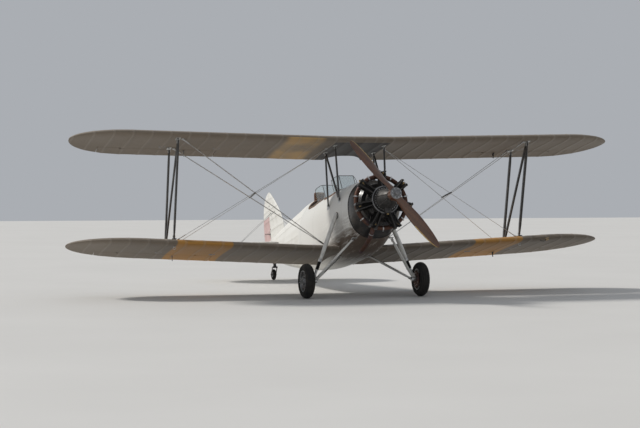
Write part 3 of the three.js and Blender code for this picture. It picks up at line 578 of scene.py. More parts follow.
def between_four(a, b, c, d, t):
    """A number or point on the smooth curve from b to c, with a before them and d after."""
    return 0.5 * (2 * b + (c - a) * t + (2 * a - 5 * b + 4 * c - d) * t * t
                  + (3 * b - a - 3 * c + d) * t ** 3)


def curved(points, count=10):
    """A smooth path through a few points."""
    points = [Vector(p) for p in points]
    path = []
    for i in range(len(points) - 1):
        four = points[max(0, i - 1)], points[i], points[i + 1], points[min(len(points) - 1, i + 2)]
        path += [between_four(*four, k / count) for k in range(count)]
    return path + [points[-1]]


def evenly(path, pitch):
    """The path's points again, one at every step of a length."""
    path = [Vector(p) for p in path]
    length = sum((b - a).length for a, b in zip(path, path[1:]))
    count = max(2, round(length / pitch))
    made, walked, index = [path[0]], 0.0, 0
    for k in range(1, count):
        target = length * k / count
        while walked + (path[index + 1] - path[index]).length < target:
            walked += (path[index + 1] - path[index]).length
            index += 1
        share = (target - walked) / (path[index + 1] - path[index]).length
        made.append(path[index].lerp(path[index + 1], share))
    return made + [path[-1]]


def heading(path, i):
    """The direction of a path at one of its points."""
    return (path[min(i + 1, len(path) - 1)] - path[max(i - 1, 0)]).normalized()


def across_of(along, fore):
    """Two unit vectors square to a direction, the first as near to `fore` as it can be."""
    deep = (fore - along * fore.dot(along)).normalized()
    return deep, along.cross(deep)


def aside_of(along):
    """A direction that lies well away from another."""
    return UP if abs(along.z) < 0.9 else AFT


def frame_of(x, y, z, spot):
    """A matrix that turns the three axes to three directions and sets their origin at a point."""
    made = Matrix((x, y, z)).transposed().to_4x4()
    made.translation = spot
    return made


def posed(spot, angle, axis):
    """A matrix that turns a shape about an axis and then sets it at a point."""
    return Matrix.Translation(spot) @ Matrix.Rotation(angle, 4, axis)


def standing(place, spot):
    """A stud's point and direction, on the z axis of a matrix."""
    return place @ Vector(spot), place.to_3x3() @ UP


def both_sides(places):
    """Studs' points and directions with their mirror images."""
    return places + [(Vector((-p.x, p.y, p.z)), Vector((-d.x, d.y, d.z))) for p, d in places]


def moved(shape, matrix):
    points, faces = shape
    return [matrix @ Vector(point) for point in points], faces


def circle(centre, deep, wide, radius, sides):
    """Points round a centre, in the plane of two unit vectors."""
    return [centre + (deep * math.cos(angle) + wide * math.sin(angle)) * radius for angle in turns(sides)]


def loft(rings, caps=True):
    """A skin through rings of points that share one order."""
    count = len(rings[0])
    points = [point for ring in rings for point in ring]
    faces = []
    for first in range(0, len(points) - count, count):
        for i in range(count):
            near, after = first + i, first + (i + 1) % count
            faces.append((near, after, after + count, near + count))
    if caps:
        faces.append(tuple(range(count)))
        faces.append(tuple(range(len(points) - count, len(points)))[::-1])
    return points, faces


def slab(outline, low, high):
    """A flat plate between two heights from its [x, y] outline."""
    return loft([[(x, y, z) for x, y in outline] for z in (low, high)])


def tube(path, radius, sides=12, caps=True):
    """A round tube along a path; `radius` is one number or one for each point."""
    path = [Vector(point) for point in path]
    radii = radius if isinstance(radius, (list, tuple)) else [radius] * len(path)
    rings = []
    deep = aside_of(heading(path, 0))
    for i, centre in enumerate(path):
        deep, wide = across_of(heading(path, i), deep)
        rings.append(circle(centre, deep, wide, radii[i], sides))
    return loft(rings, caps)


def pipe(path, outer, inner, sides=24, deep=4):
    """A round tube whose far end is open: its wall turns in and runs back a few steps."""
    points, _ = tube(path, outer, sides)
    rings = [points[i * sides:(i + 1) * sides] for i in range(len(path))]
    for ring, centre in list(zip(rings, path))[:-deep:-1]:
        rings.append([centre + (point - centre) * inner / outer for point in ring])
    return loft(rings)


def strut(low, high, width, depth, sides=26, taper=0.55):
    """A streamlined strut between two points, its deep side fore and aft and its ends drawn in."""
    low, high = Vector(low), Vector(high)
    deep, wide = across_of((high - low).normalized(), AFT)
    length = (high - low).length
    rings = []
    for spot in (0, 0.006, 0.06, 0.12, 0.3, 0.5, 0.7, 0.88, 0.94, 0.994, 1):
        near_end = min(spot, 1 - spot) * length
        grow = taper + (1 - taper) * min(1, near_end / 0.16) ** 0.6
        ring = []
        for angle in turns(sides):
            fore = -math.cos(angle)
            thick = math.sin(angle) * (1 - 0.32 * fore) * 0.94
            ring.append(low.lerp(high, spot) + deep * fore * depth / 2 * grow
                        + wide * thick * width / 2 * grow)
        rings.append(ring)
    return loft(rings)


def ribbon(path, width, thick, across):
    """A flat strap along a path; `across` is the direction of its width."""
    rings = []
    for i, centre in enumerate(path):
        along = heading(path, i)
        wide = (across - along * along.dot(across)).normalized() * width / 2
        up = along.cross(wide).normalized() * thick / 2
        rings.append([centre - wide - up, centre + wide - up, centre + wide + up, centre - wide + up])
    return loft(rings)


def lathe(profile, centre=ZERO, axis=UP, sides=32):
    """A turned body: [radius, distance along the axis] pairs; a pair on the axis becomes a pole."""
    axis = Vector(axis).normalized()
    deep, wide = across_of(axis, aside_of(axis))
    points, faces, rows = [], [], []
    for radius, along in profile:
        middle = Vector(centre) + axis * along
        first = len(points)
        if radius <= 0:
            points.append(middle)
            rows.append([first] * sides)
            continue
        points += circle(middle, deep, wide, radius, sides)
        rows.append(list(range(first, first + sides)))
    for row, after in zip(rows, rows[1:]):
        for k in range(sides):
            corners = (row[k], row[(k + 1) % sides], after[(k + 1) % sides], after[k])
            unique = tuple(dict.fromkeys(corners))
            if len(unique) > 2:
                faces.append(unique)
    return points, faces


def ring_of(profile, centre=ZERO, axis=UP, sides=48):
    """A turned ring whose profile closes on itself."""
    return lathe([*profile, profile[0]], centre, axis, sides)


def plug(radius, low, high, centre=ZERO, axis=UP, sides=32):
    """A plain round bar between two distances along its axis."""
    return lathe([(0, low), (radius, low), (radius, high), (0, high)], centre, axis, sides)


def block(size, place=ZERO, chamfer=0.003, segments=1):
    """A box with softened edges; `place` is a matrix or a point."""
    matrix = place if isinstance(place, Matrix) else Matrix.Translation(place)
    made = bmesh.new()
    bmesh.ops.create_cube(made, size=1, matrix=Matrix.Diagonal((*size, 1)))
    if chamfer:
        bmesh.ops.bevel(made, geom=made.edges[:], offset=chamfer, segments=segments, affect="EDGES",
                        profile=0.5)
    bmesh.ops.transform(made, matrix=matrix, verts=made.verts[:])
    made.verts.index_update()
    shape = [v.co.copy() for v in made.verts], [tuple(v.index for v in f.verts) for f in made.faces]
    made.free()
    return shape


# Objects and pieces
FINISHES = 3


def object_of(name, data):
    """A new object, linked to the scene."""
    made = bpy.data.objects.new(name, data)
    bpy.context.scene.collection.objects.link(made)
    return made


def baked(thing):
    """A plain mesh of an object with its modifiers applied."""
    return bpy.data.meshes.new_from_object(thing.evaluated_get(bpy.context.evaluated_depsgraph_get()))


def shape_of(mesh):
    return [v.co.copy() for v in mesh.vertices], [tuple(p.vertices) for p in mesh.polygons]


class Form:
    """A piece being made: points, faces and the finish of each face, in the level aircraft's axes."""

    def __init__(self, *shapes, finish=0):
        self.points, self.faces, self.finishes = [], [], []
        for shape in shapes:
            self.add(shape, finish)

    def add(self, shape, finish=0):
        points, faces = shape
        first = len(self.points)
        self.points.extend(Vector(point) for point in points)
        self.faces.extend(tuple(first + i for i in face) for face in faces)
        self.finishes.extend([finish] * len(faces))
        return self

    def mirrored(self):
        """The same form on the other side of the aircraft."""
        other = Form()
        other.points = [Vector((-point.x, point.y, point.z)) for point in self.points]
        other.faces = [face[::-1] for face in self.faces]
        other.finishes = list(self.finishes)
        return other

    def mesh(self, name):
        mesh = bpy.data.meshes.new(name)
        mesh.from_pydata(self.points, [], self.faces)
        mesh.polygons.foreach_set("material_index", self.finishes)
        made = bmesh.new()
        made.from_mesh(mesh)
        bmesh.ops.remove_doubles(made, verts=made.verts[:], dist=1e-6)
        bmesh.ops.recalc_face_normals(made, faces=made.faces[:])
        made.to_mesh(mesh)
        made.free()
        return mesh

    def cut(self, other, operation="DIFFERENCE"):
        """This form with another one taken away, kept or joined."""
        base, tool = (object_of("blank", form.mesh("blank")) for form in (self, other))
        # Empty slots, so that each face keeps the number of its finish
        for thing in (base, tool):
            for _ in range(FINISHES):
                thing.data.materials.append(None)
        modifier = base.modifiers.new("cut", "BOOLEAN")
        modifier.operation = operation
        modifier.solver = "EXACT"
        modifier.object = tool
        result = baked(base)
        for thing in (base, tool):
            bpy.data.objects.remove(thing)
        made = Form(shape_of(result))
        made.finishes = [p.material_index for p in result.polygons]
        return made


def joined(*forms):
    """Several forms as one, each keeping its finishes."""
    whole = Form()
    for form in forms:
        first = len(whole.points)
        whole.points += form.points
        whole.faces += [tuple(first + i for i in face) for face in form.faces]
        whole.finishes += form.finishes
    return whole


def settle(name, mesh, materials=(), body="airframe", replaces=(), smooth=32):
    """Names, shades and rides a mesh that is already in the parked frame."""
    mesh.name = name
    for material in materials:
        mesh.materials.append(material)
    mesh.shade_smooth()
    mesh.set_sharp_from_angle(angle=math.radians(smooth))
    made = object_of(name, mesh)
    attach(made, body)
    if replaces:
        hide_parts(*replaces)
    return made


def piece(name, form, materials, replaces=(), body="airframe", smooth=32):
    """Puts a form into the parked frame as a finished piece that rides on a body."""
    mesh = form.mesh(name)
    mesh.transform(PARKED)
    return settle(name, mesh, materials, body, replaces, smooth)


def pair(name, form, materials, replaces=(), body="airframe", smooth=32):
    """A port piece and its mirror image; {} in a name stands for left or right."""
    for hand, side in SIDES:
        piece(name.format(hand), form if side > 0 else form.mirrored(), materials,
              [node.format(hand) for node in replaces], body.format(hand), smooth)


# Repeats: geometry node trees that set small solids on points and along paths
SOCKETS = {float: "NodeSocketFloat", int: "NodeSocketInt", tuple: "NodeSocketVector"}


class Repeater:
    """A geometry node tree with named inputs; each run of it gives one plain mesh."""

    def __init__(self, name, **inputs):
        self.tree = bpy.data.node_groups.new(name, "GeometryNodeTree")
        self.tree.is_modifier = True
        self.tree.interface.new_socket("Geometry", in_out="OUTPUT", socket_type="NodeSocketGeometry")
        self.sockets = {}
        self.add_socket("Geometry", "NodeSocketGeometry")
        for key, default in inputs.items():
            self.add_socket(key, SOCKETS[type(default)]).default_value = default
        self.add_socket("Material", "NodeSocketMaterial")
        self.given = self.tree.nodes.new("NodeGroupInput").outputs

    def add_socket(self, name, kind):
        made = self.tree.interface.new_socket(name, in_out="INPUT", socket_type=kind)
        self.sockets[name] = made.identifier
        return made

    def node(self, kind, settings=None, inputs=None):
        return add_node(self.tree, kind, settings, inputs).outputs[0]

    def facing(self, direction):
        """The rotation that turns a solid's z axis to a direction."""
        return self.node("FunctionNodeAlignRotationToVector", {"axis": "Z"}, {"Vector": direction})

    def outward(self):
        """The rotation to each point's own direction."""
        return self.facing(self.node("GeometryNodeInputNamedAttribute", {"data_type": "FLOAT_VECTOR"},
                                     {"Name": "out"}))

    def paces(self):
        """Points at every Pitch along the helper mesh's paths."""
        path = self.node("GeometryNodeMeshToCurve", {}, {"Mesh": self.given["Geometry"]})
        return self.node("GeometryNodeResampleCurve", {"mode": "LENGTH"},
                         {"Curve": path, "Length": self.given["Pitch"]})

    def oval(self, segments, rings, height):
        """A ball of the tree's Radius, made taller or flatter."""
        ball = self.node("GeometryNodeMeshUVSphere", {}, {"Segments": segments, "Rings": rings,
                                                          "Radius": 1.0})
        size = self.node("ShaderNodeCombineXYZ", {}, {0: self.given["Radius"], 1: self.given["Radius"],
                                                      2: height})
        return self.node("GeometryNodeTransform", {}, {"Geometry": ball, "Scale": size})

    def on_points(self, points, solid, **rotation):
        return self.node("GeometryNodeInstanceOnPoints", {},
                         {"Points": points, "Instance": solid, **rotation})

    def end(self, points, solid, turn):
        """Sets the solid on the points, realizes it, gives it its material and closes the tree."""
        real = self.node("GeometryNodeRealizeInstances", {},
                         {"Geometry": self.on_points(points, solid, Rotation=turn)})
        shown = self.node("GeometryNodeSetMaterial", {},
                          {"Geometry": real, "Material": self.given["Material"]})
        self.tree.links.new(shown, self.tree.nodes.new("NodeGroupOutput").inputs["Geometry"])
        return self

    def run(self, mesh, **values):
        """The plain mesh that the tree makes of a helper mesh."""
        blank = object_of("blank", mesh)
        modifier = blank.modifiers.new("repeat", "NODES")
        modifier.node_group = self.tree
        for name, value in values.items():
            modifier[self.sockets[name]] = value
        made = baked(blank)
        blank.modifiers.remove(modifier)
        bpy.data.objects.remove(blank)
        return made


@functools.cache
def rivet_tree():
    """A domed rivet head on every point."""
    tree = Repeater("rivets", Radius=0.004, Height=0.003)
    return tree.end(tree.given["Geometry"], tree.oval(8, 4, tree.given["Height"]), tree.outward())


@functools.cache
def nut_tree():
    """A hexagonal nut on every point."""
    tree = Repeater("nuts", Radius=0.004, Height=0.003)
    nut = tree.node("GeometryNodeMeshCylinder", {}, {"Vertices": 6, "Radius": tree.given["Radius"],
                                                     "Depth": tree.given["Height"]})
    return tree.end(tree.given["Geometry"], nut, tree.outward())


@functools.cache
def stitch_tree():
    """A short thread at even steps along a path, lying along it."""
    tree = Repeater("stitches", Pitch=0.02, Radius=0.001, Length=0.01)
    half = tree.node("ShaderNodeMath", {"operation": "MULTIPLY"}, {0: tree.given["Length"], 1: 0.5})
    return tree.end(tree.paces(), tree.oval(6, 5, half), tree.facing(tree.node("GeometryNodeInputTangent")))


@functools.cache
def fin_tree():
    """A stack of thin cooling fins on every point, rising along the point's own direction."""
    tree = Repeater("cooling_fins", Count=19, Rise=0.15, Radius=0.068, Thickness=0.0016)
    fin = tree.node("GeometryNodeMeshCylinder", {}, {"Vertices": 40, "Radius": tree.given["Radius"],
                                                     "Depth": tree.given["Thickness"]})
    top = tree.node("ShaderNodeCombineXYZ", {}, {2: tree.given["Rise"]})
    line = tree.node("GeometryNodeMeshLine", {"mode": "END_POINTS"},
                     {"Count": tree.given["Count"], "Start Location": (0, 0, 0), "Offset": top})
    stack = tree.node("GeometryNodeRealizeInstances", {}, {"Geometry": tree.on_points(line, fin)})
    return tree.end(tree.given["Geometry"], stack, tree.outward())


@functools.cache
def lacing_tree():
    """A thread arched over a padded roll at even steps along the roll's path."""
    tree = Repeater("lacing", Pitch=0.026, Reach=0.018, Radius=0.0014, Up=(0.0, 0.0, 1.0))
    arc = tree.node("GeometryNodeCurveArc", {"mode": "RADIUS"}, {
        "Resolution": 12, "Radius": tree.given["Reach"], "Start Angle": math.radians(-20),
        "Sweep Angle": math.radians(220)})
    outline = tree.node("GeometryNodeCurvePrimitiveCircle", {"mode": "RADIUS"},
                        {"Resolution": 6, "Radius": tree.given["Radius"]})
    thread = tree.node("GeometryNodeCurveToMesh", {}, {"Curve": arc, "Profile Curve": outline,
                                                       "Fill Caps": True})
    along = tree.facing(tree.node("GeometryNodeInputTangent"))
    turn = tree.node("FunctionNodeAlignRotationToVector", {"axis": "Y", "pivot_axis": "Z"},
                     {"Rotation": along, "Vector": tree.given["Up"]})
    return tree.end(tree.paces(), thread, turn)


def points_mesh(places):
    """A mesh of loose points in the parked frame from [point, direction] pairs in the level one."""
    mesh = bpy.data.meshes.new("places")
    mesh.from_pydata([PARKED @ Vector(point) for point, _ in places], [], [])
    out = mesh.attributes.new("out", "FLOAT_VECTOR", "POINT")
    for row, (_, direction) in zip(out.data, places):
        row.vector = AXES @ Vector(direction)
    return mesh


def path_mesh(paths):
    """A mesh of edges in the parked frame, one chain for each path."""
    points, edges = [], []
    for path in paths:
        edges += [(len(points) + i, len(points) + i + 1) for i in range(len(path) - 1)]
        points += [PARKED @ Vector(point) for point in path]
    mesh = bpy.data.meshes.new("paths")
    mesh.from_pydata(points, edges, [])
    return mesh


def rivets(name, places, radius, height, material, body="airframe"):
    """Domed heads as one piece."""
    mesh = rivet_tree().run(points_mesh(places), Radius=radius, Height=height, Material=material)
    return settle(name, mesh, body=body)


def nuts(name, places, radius, height, body="airframe"):
    """Steel nuts as one piece."""
    mesh = nut_tree().run(points_mesh(places), Radius=radius, Height=height, Material=bright_steel())
    return settle(name, mesh, body=body)


def stitched(name, paths, pitch, radius, length, material, slot, body="airframe"):
    """Threads along paths as one piece."""
    mesh = stitch_tree().run(path_mesh(paths), Pitch=pitch, Radius=radius, Length=length, Material=material)
    return settle(name, mesh, body=body)


# Wings
RIB_FIRST = 0.470
RIB_LAST = 4.200
CHORD = 1.280
CAMBER = 0.035
EDGE = 0.005
CHORD_STEPS = 30
TAPE_RISE = 0.0012
TIP_SHARE = 0.9965


def aerofoil(share):
    """Half the thickness of a plain symmetrical section, for a thickness of a fifth of the chord."""
    return (0.2969 * math.sqrt(share) - 0.126 * share - 0.3516 * share ** 2 + 0.2843 * share ** 3
            - 0.1015 * share ** 4)


def chord_share(i, count):
    """Shares of the chord that crowd at both edges; below 0 is the underside."""
    return (1 - math.cos(abs(i) / count * math.pi)) / 2


def held_off(share, nose):
    """How free the cloth is to sag: not at all at the edges, fully past the nose's sheet."""
    return within((share - nose) / 0.12) * min(1, (1 - share) / 0.1)


def sag(dip, spot):
    """The cloth's dip at a share of the way from one rib to the next."""
    return dip * 4 * spot * (1 - spot)


def rounding(out, start, end):
    """How far a tip has closed, from 0 where its curve starts to 1 at its end."""
    return 1 - math.sqrt(1 - within((out - start) / (end - start)) ** 2)


def tip_rim(start, end, first, count):
    """Places from a tip's start to its end that crowd at the end."""
    return [start + (end - start) * math.sin(k / count * math.pi / 2) for k in range(first, count)]


class Wing:
    """One wing level: where any point of its skin lies. Side 1 is port."""

    incidence = math.radians(2.2)
    thickness = 0.1

    def __init__(self, root, kink, mid_aft, height, sweep=0, dihedral=0, tip_start=3.6, tip_centre=0.4):
        self.root = root
        self.kink = kink
        self.mid_aft = mid_aft
        self.height = height
        self.sweep = math.tan(math.radians(sweep))
        self.dihedral = math.tan(math.radians(dihedral))
        self.tip_start = tip_start
        self.tip_centre = tip_centre

    def shrink(self, out):
        return rounding(out, self.tip_start, HALF_SPAN)

    def point(self, side, out, share, above=0.0):
        """A point from its distance out, share of the chord and height over the chord line."""
        shrink = self.shrink(out)
        aft = (shrink * self.tip_centre + share * (1 - shrink) - 0.5) * CHORD
        beyond = max(0, out - self.kink)
        return Vector((side * out,
                       self.mid_aft + beyond * self.sweep + aft * math.cos(self.incidence)
                       + above * math.sin(self.incidence),
                       self.height + beyond * self.dihedral - aft * math.sin(self.incidence)
                       + above * math.cos(self.incidence)))

    def skin(self, out, share, upper):
        """Height of the upper or lower skin over the chord line."""
        scale = CHORD * (1 - self.shrink(out))
        half = scale * 5 * self.thickness * aerofoil(share) + share * EDGE / 2
        return scale * CAMBER * 4 * share * (1 - share) + (half if upper else -half)

    def middle(self, out, share):
        """Height of the line halfway between the two skins."""
        return (self.skin(out, share, True) + self.skin(out, share, False)) / 2

    def on_skin(self, side, out, share, upper, lift=0.0):
        return self.point(side, out, share, self.skin(out, share, upper) + (lift if upper else -lift))

    def ring(self, side, out, dip=0.0, tape=0.0):
        """One section, from the trailing edge forwards underneath and back over the top."""
        ring = []
        for i in range(-CHORD_STEPS, CHORD_STEPS + 1):
            share = chord_share(i, CHORD_STEPS)
            above = self.skin(out, share, i >= 0)
            lift = tape - dip * held_off(share, 0.14)
            pull = 1 - 1.1 * dip / CHORD * max(0, share - 0.8) / 0.2
            ring.append(self.point(side, out, share * pull, above + (lift if i >= 0 else -lift)))
        return ring

    def stations(self, inner, outer):
        """[distance out, dip, tape] for each section between two places, dense at ribs and at the tip."""
        pitch, half, dip = sizes().rib_pitch, sizes().tape / 2, sizes().fabric_dip
        rows = [(inner, 0, 0)]
        rib = RIB_FIRST
        while rib <= RIB_LAST:
            rows += [(rib - half - 0.002, 0, 0), (rib - half, 0, TAPE_RISE), (rib, 0, 0.0016),
                     (rib + half, 0, TAPE_RISE), (rib + half + 0.002, 0, 0)]
            if rib + pitch <= RIB_LAST:
                rows += [(rib + pitch * spot, sag(dip, spot), 0) for spot in (0.2, 0.35, 0.5, 0.65, 0.8)]
            rib += pitch
        rim = tip_rim(self.tip_start, HALF_SPAN, 1, 14)
        rows += [(out, 0, 0) for out in rim if out > rows[-1][0] + 0.02]
        rows.append((self.tip_start + (HALF_SPAN - self.tip_start) * TIP_SHARE, 0, 0))
        return [row for row in rows if inner <= row[0] <= outer]


UPPER = Wing(0.450, 0.450, -0.621, 1.090, 4, 2.3, 3.600, 0.40)
LOWER = Wing(0.300, 0.400, 0.0, -0.530, 4, 3.6, 3.350, 0.45)
CENTRE = Wing(0, 0, UPPER.mid_aft, UPPER.height)
LEVELS = (("upper", UPPER), ("lower", LOWER))
STRUT_OUT = 2.900
FRONT_SPAR = 0.15
REAR_SPAR = 0.67
AILERON_FROM = 2.150
AILERON_TO = 4.000
AILERON_HINGE = 0.74
AILERON_NOSE = 0.035
AILERON_EYES = (0.260, 1.500)
CUT_OUT_RADIUS = 0.330
CUT_OUT_AFT = UPPER.mid_aft + 0.720


def hinge_frame(start, end):
    """A matrix on a hinge line: x along it, y aft across it."""
    along = (end - start).normalized()
    aft, up = across_of(along, AFT)
    return frame_of(along, aft, up, start)


def hinge_region(place, length, nose, grow):
    """The space of a hinged surface: a nose cylinder on the hinge and everything behind it."""
    reach = 0.9
    middle = place @ Matrix.Translation((length / 2, reach / 2, 0))
    behind = block((length + 2 * grow, reach, reach), middle, 0)
    round_nose = plug(nose + grow, -grow, length + grow, ZERO, PORT, 40)
    return Form(behind).cut(Form(moved(round_nose, place)), "UNION")


def hinged(whole, place, length, nose, stations, fixed_less=None, moving_less=None):
    """A surface split at its hinge: the fixed form with its lugs, and the moving form with its pins."""
    lugs, pins, notches = Form(), Form(), Form()
    root = nose + HINGE_GAP + 0.014
    front, back = nose + 0.020, 0.022
    for station in stations:
        here = place @ Matrix.Translation((station, 0, 0))
        lugs.add(block((0.022, root, 0.014), here @ Matrix.Translation((0, -root / 2, 0)), 0.002), 1)
        eye = ring_of([(0.008, -0.011), (0.016, -0.011), (0.016, 0.011), (0.008, 0.011)], ZERO, PORT, 20)
        lugs.add(moved(eye, here), 1)
        pins.add(moved(tube([(-0.027, 0, 0), (0.027, 0, 0)], 0.007, 14), here), 1)
        middle = here @ Matrix.Translation((0, (back - front) / 2, 0))
        notches.add(block((0.034, front + back, 0.2), middle, 0))
    fixed = whole.cut(hinge_region(place, length, nose, HINGE_GAP))
    moving = whole.cut(hinge_region(place, length, nose, 0), "INTERSECT")
    if fixed_less:
        fixed = fixed.cut(fixed_less)
    if moving_less:
        moving = moving.cut(moving_less)
    return joined(fixed, lugs), joined(moving.cut(notches), pins)


class BIPLANE_OT_wings(bpy.types.Operator):
    """Fabric-covered wing panels and ailerons, with rib tapes and dips in the cloth between them"""

    bl_idname = "biplane.wings"
    bl_label = "Wings"

    def execute(self, context):
        for level, wing in LEVELS:
            self.half_wing(level, wing, upper_cloth() if level == "upper" else lower_cloth())
        self.centre_section()
        return {"FINISHED"}

    def half_wing(self, level, wing, cloth):
        """Both panels of a level and their ailerons."""
        panel = Form(loft([wing.ring(1, *row) for row in wing.stations(wing.root, HALF_SPAN)]))
        height = wing.middle(AILERON_FROM, AILERON_HINGE)
        place = hinge_frame(*(wing.point(1, out, AILERON_HINGE, height)
                              for out in (AILERON_FROM, wing.tip_start)))
        fixed, moving = hinged(panel, place, AILERON_TO - AILERON_FROM, AILERON_NOSE, AILERON_EYES)
        pair(level + "_wing_{}_skin", fixed, [cloth, strut_black()], [level + "_wing_{}"],
             smooth=40)
        pair(level + "_aileron_{}_skin", moving, [cloth, bright_steel()],
             [level + "_aileron_{}"], level + "_aileron_{}", 40)

    def centre_section(self):
        """The panel over the front cockpit, with the round cut-out in its trailing edge."""
        half, rib = UPPER.root - 0.0006, 0.30
        rows = [(-half, 0, 0), (-half + 0.05, 0, TAPE_RISE), (-half + 0.052, 0, 0)]
        for middle in (-rib, 0, rib):
            rows += [(middle - 0.02, 0, 0), (middle - 0.018, 0, TAPE_RISE), (middle + 0.018, 0, TAPE_RISE),
                     (middle + 0.02, 0, 0)]
        rows += [(-rib / 2, 0.003, 0), (rib / 2, 0.003, 0)]
        rows += [(half - 0.052, 0, 0), (half - 0.05, 0, TAPE_RISE), (half, 0, 0)]
        rings = [[Vector((out, p.y, p.z)) for p in CENTRE.ring(1, 0, dip, tape)]
                 for out, dip, tape in sorted(rows)]
        cutter = plug(CUT_OUT_RADIUS, -0.4, 0.4, (0, CUT_OUT_AFT, UPPER.height), UP, 72)
        panel = Form(loft(rings)).cut(Form(cutter))
        roll = []
        for angle in (math.radians(degrees) for degrees in steps(222, 318, 40)):
            x, y = CUT_OUT_RADIUS * math.cos(angle), CUT_OUT_AFT + CUT_OUT_RADIUS * math.sin(angle)
            share = min(0.985, (y - UPPER.mid_aft) / CHORD + 0.5)
            roll.append(Vector((x, y, CENTRE.point(1, 0, share, CENTRE.middle(0, share)).z)))
        panel.add(tube(roll, 0.008, 10), 1)
        piece("centre_section_skin", panel, [centre_cloth(), brown_leather()],
              ["upper_centre_section"], smooth=40)


# Fuselage: aft, half width, bottom, waist, crown, squareness below and above the waist
SECTIONS = (
    (-1.350, 0.400, -0.480, -0.020, 0.430, 2.4, 2.1),
    (-0.800, 0.410, -0.595, 0.000, 0.490, 3.4, 2.2),
    (0.000, 0.410, -0.610, 0.020, 0.530, 4.0, 2.2),
    (0.900, 0.390, -0.580, 0.060, 0.570, 4.0, 2.1),
    (1.500, 0.350, -0.510, 0.090, 0.690, 3.6, 1.7),
    (2.300, 0.275, -0.360, 0.140, 0.665, 3.2, 1.7),
    (3.300, 0.165, -0.130, 0.220, 0.610, 2.6, 1.8),
    (4.150, 0.062, 0.105, 0.310, 0.540, 2.2, 2.0),
    (4.290, 0.034, 0.150, 0.330, 0.520, 2.0, 2.0),
)
NOSE_SECTIONS = (
    (-1.690, 0.300, -0.300, 0.000, 0.300, 2.0, 2.0),
    (-1.600, 0.355, -0.365, -0.005, 0.355, 2.1, 2.0),
    (-1.480, 0.388, -0.430, -0.010, 0.400, 2.2, 2.0),
    (-1.350, 0.400, -0.480, -0.020, 0.430, 2.4, 2.1),
)
NOSE_FRONT = -1.690
TAIL_END = 4.290
CABIN = (-1.250, 1.400)
# The slot across the fuselage's tail: width, length, height
TAIL_SLOT = (0.6, 0.56, 0.075)
TAIL_SLOT_AFT = 4.26
STRINGER_DIP = 0.0080
HULL_SIDES = 120
COCKPITS = (("front", -0.260, 0.360), ("rear", 0.620, 1.240))
COCKPIT_HALF = 0.255
TAIL_WHEEL_AFT = 4.375
SWIVEL_AFT = 4.265
TAIL_WHEEL_RADIUS = 0.100
TAIL_WHEEL_UP = (LEVEL @ Vector(JOINTS["tail_wheel_spin"]["pos_m"])).z
CROWN = TAIL_WHEEL_UP + TAIL_WHEEL_RADIUS + 0.034


def rows_round(table, place):
    """The four rows of a table round a place: before, low, high and beyond."""
    after = max(1, next((i for i, row in enumerate(table) if row[0] >= place), len(table) - 1))
    return table[max(0, after - 2)], table[after - 1], table[after], table[min(len(table) - 1, after + 1)]


def section(aft, table=SECTIONS):
    """The fuselage's section at one place, on a smooth curve through the table's rows."""
    p0, p1, p2, p3 = rows_round(table, aft)
    t = (aft - p1[0]) / (p2[0] - p1[0])
    values = []
    for a, b, c, d in zip(p0, p1, p2, p3):
        slope_in = (c - a) * (p2[0] - p1[0]) / (p2[0] - p0[0]) if p0 is not p1 else c - b
        slope_out = (d - b) * (p2[0] - p1[0]) / (p3[0] - p1[0]) if p3 is not p2 else c - b
        values.append((2 * t ** 3 - 3 * t ** 2 + 1) * b + (t ** 3 - 2 * t ** 2 + t) * slope_in
                      + (3 * t ** 2 - 2 * t ** 3) * c + (t ** 3 - t ** 2) * slope_out)
    values[0] = aft
    return values


def hull_point(aft, angle, lift=0.0, table=SECTIONS):
    """A point of the fuselage's skin, its angle counted from port round over the top."""
    _, half, bottom, waist, crown, below, above = section(aft, table)
    power = below if math.sin(angle) < 0 else above
    rise = (waist - bottom if math.sin(angle) < 0 else crown - waist) + lift
    across, up = bulged(math.cos(angle), 2 / power), bulged(math.sin(angle), 2 / power)
    return Vector(((half + lift) * across, aft, waist + rise * up))


def hull_ring(aft, lift=0.0, table=SECTIONS, stringers=0, dip=0.0, count=HULL_SIDES):
    """A section's outline, dipped between stringers where there are any."""
    return [hull_point(aft, angle, lift - sag(dip, (k / count * stringers) % 1), table)
            for k, angle in enumerate(turns(count))]


def half_width(aft, height, inset=0.0):
    """Half the fuselage's width at a height, outside or inset all round."""
    _, half, bottom, waist, crown, below, above = section(aft)
    power, rise = (below, waist - bottom) if height < waist else (above, crown - waist)
    share = min(1.0, abs(height - waist) / (rise - inset))
    return (half - inset) * (1 - share ** power) ** (1 / power)


def hull_side(aft, height, lift=0.0):
    """A point of the fuselage's port side at a height."""
    return Vector((half_width(aft, height) + lift, aft, height))


def crown_height(x, aft):
    """Height of the fuselage's upper skin."""
    _, half, _, waist, crown, _, above = section(aft)
    return waist + (crown - waist) * max(0, 1 - (abs(x) / half) ** above) ** (1 / above)


def cockpit_outline(low, high, count=10):
    """The rounded opening seen from above, as [x, aft] points."""
    middle, half = (low + high) / 2, (high - low) / 2
    corner = COCKPIT_HALF * 0.75
    quarter = [(COCKPIT_HALF * (1 - (1 - t) ** 2), -half + t * t * corner) for t in steps(0, 1, count)]
    right = quarter + [(x, -y) for x, y in quarter[::-1]]
    clean = []
    for x, y in right + [(-x, y) for x, y in right[::-1]]:
        if not clean or math.dist((x, y + middle), clean[-1]) > 1e-4:
            clean.append((x, y + middle))
    if math.dist(clean[0], clean[-1]) < 1e-4:
        clean.pop()
    return clean


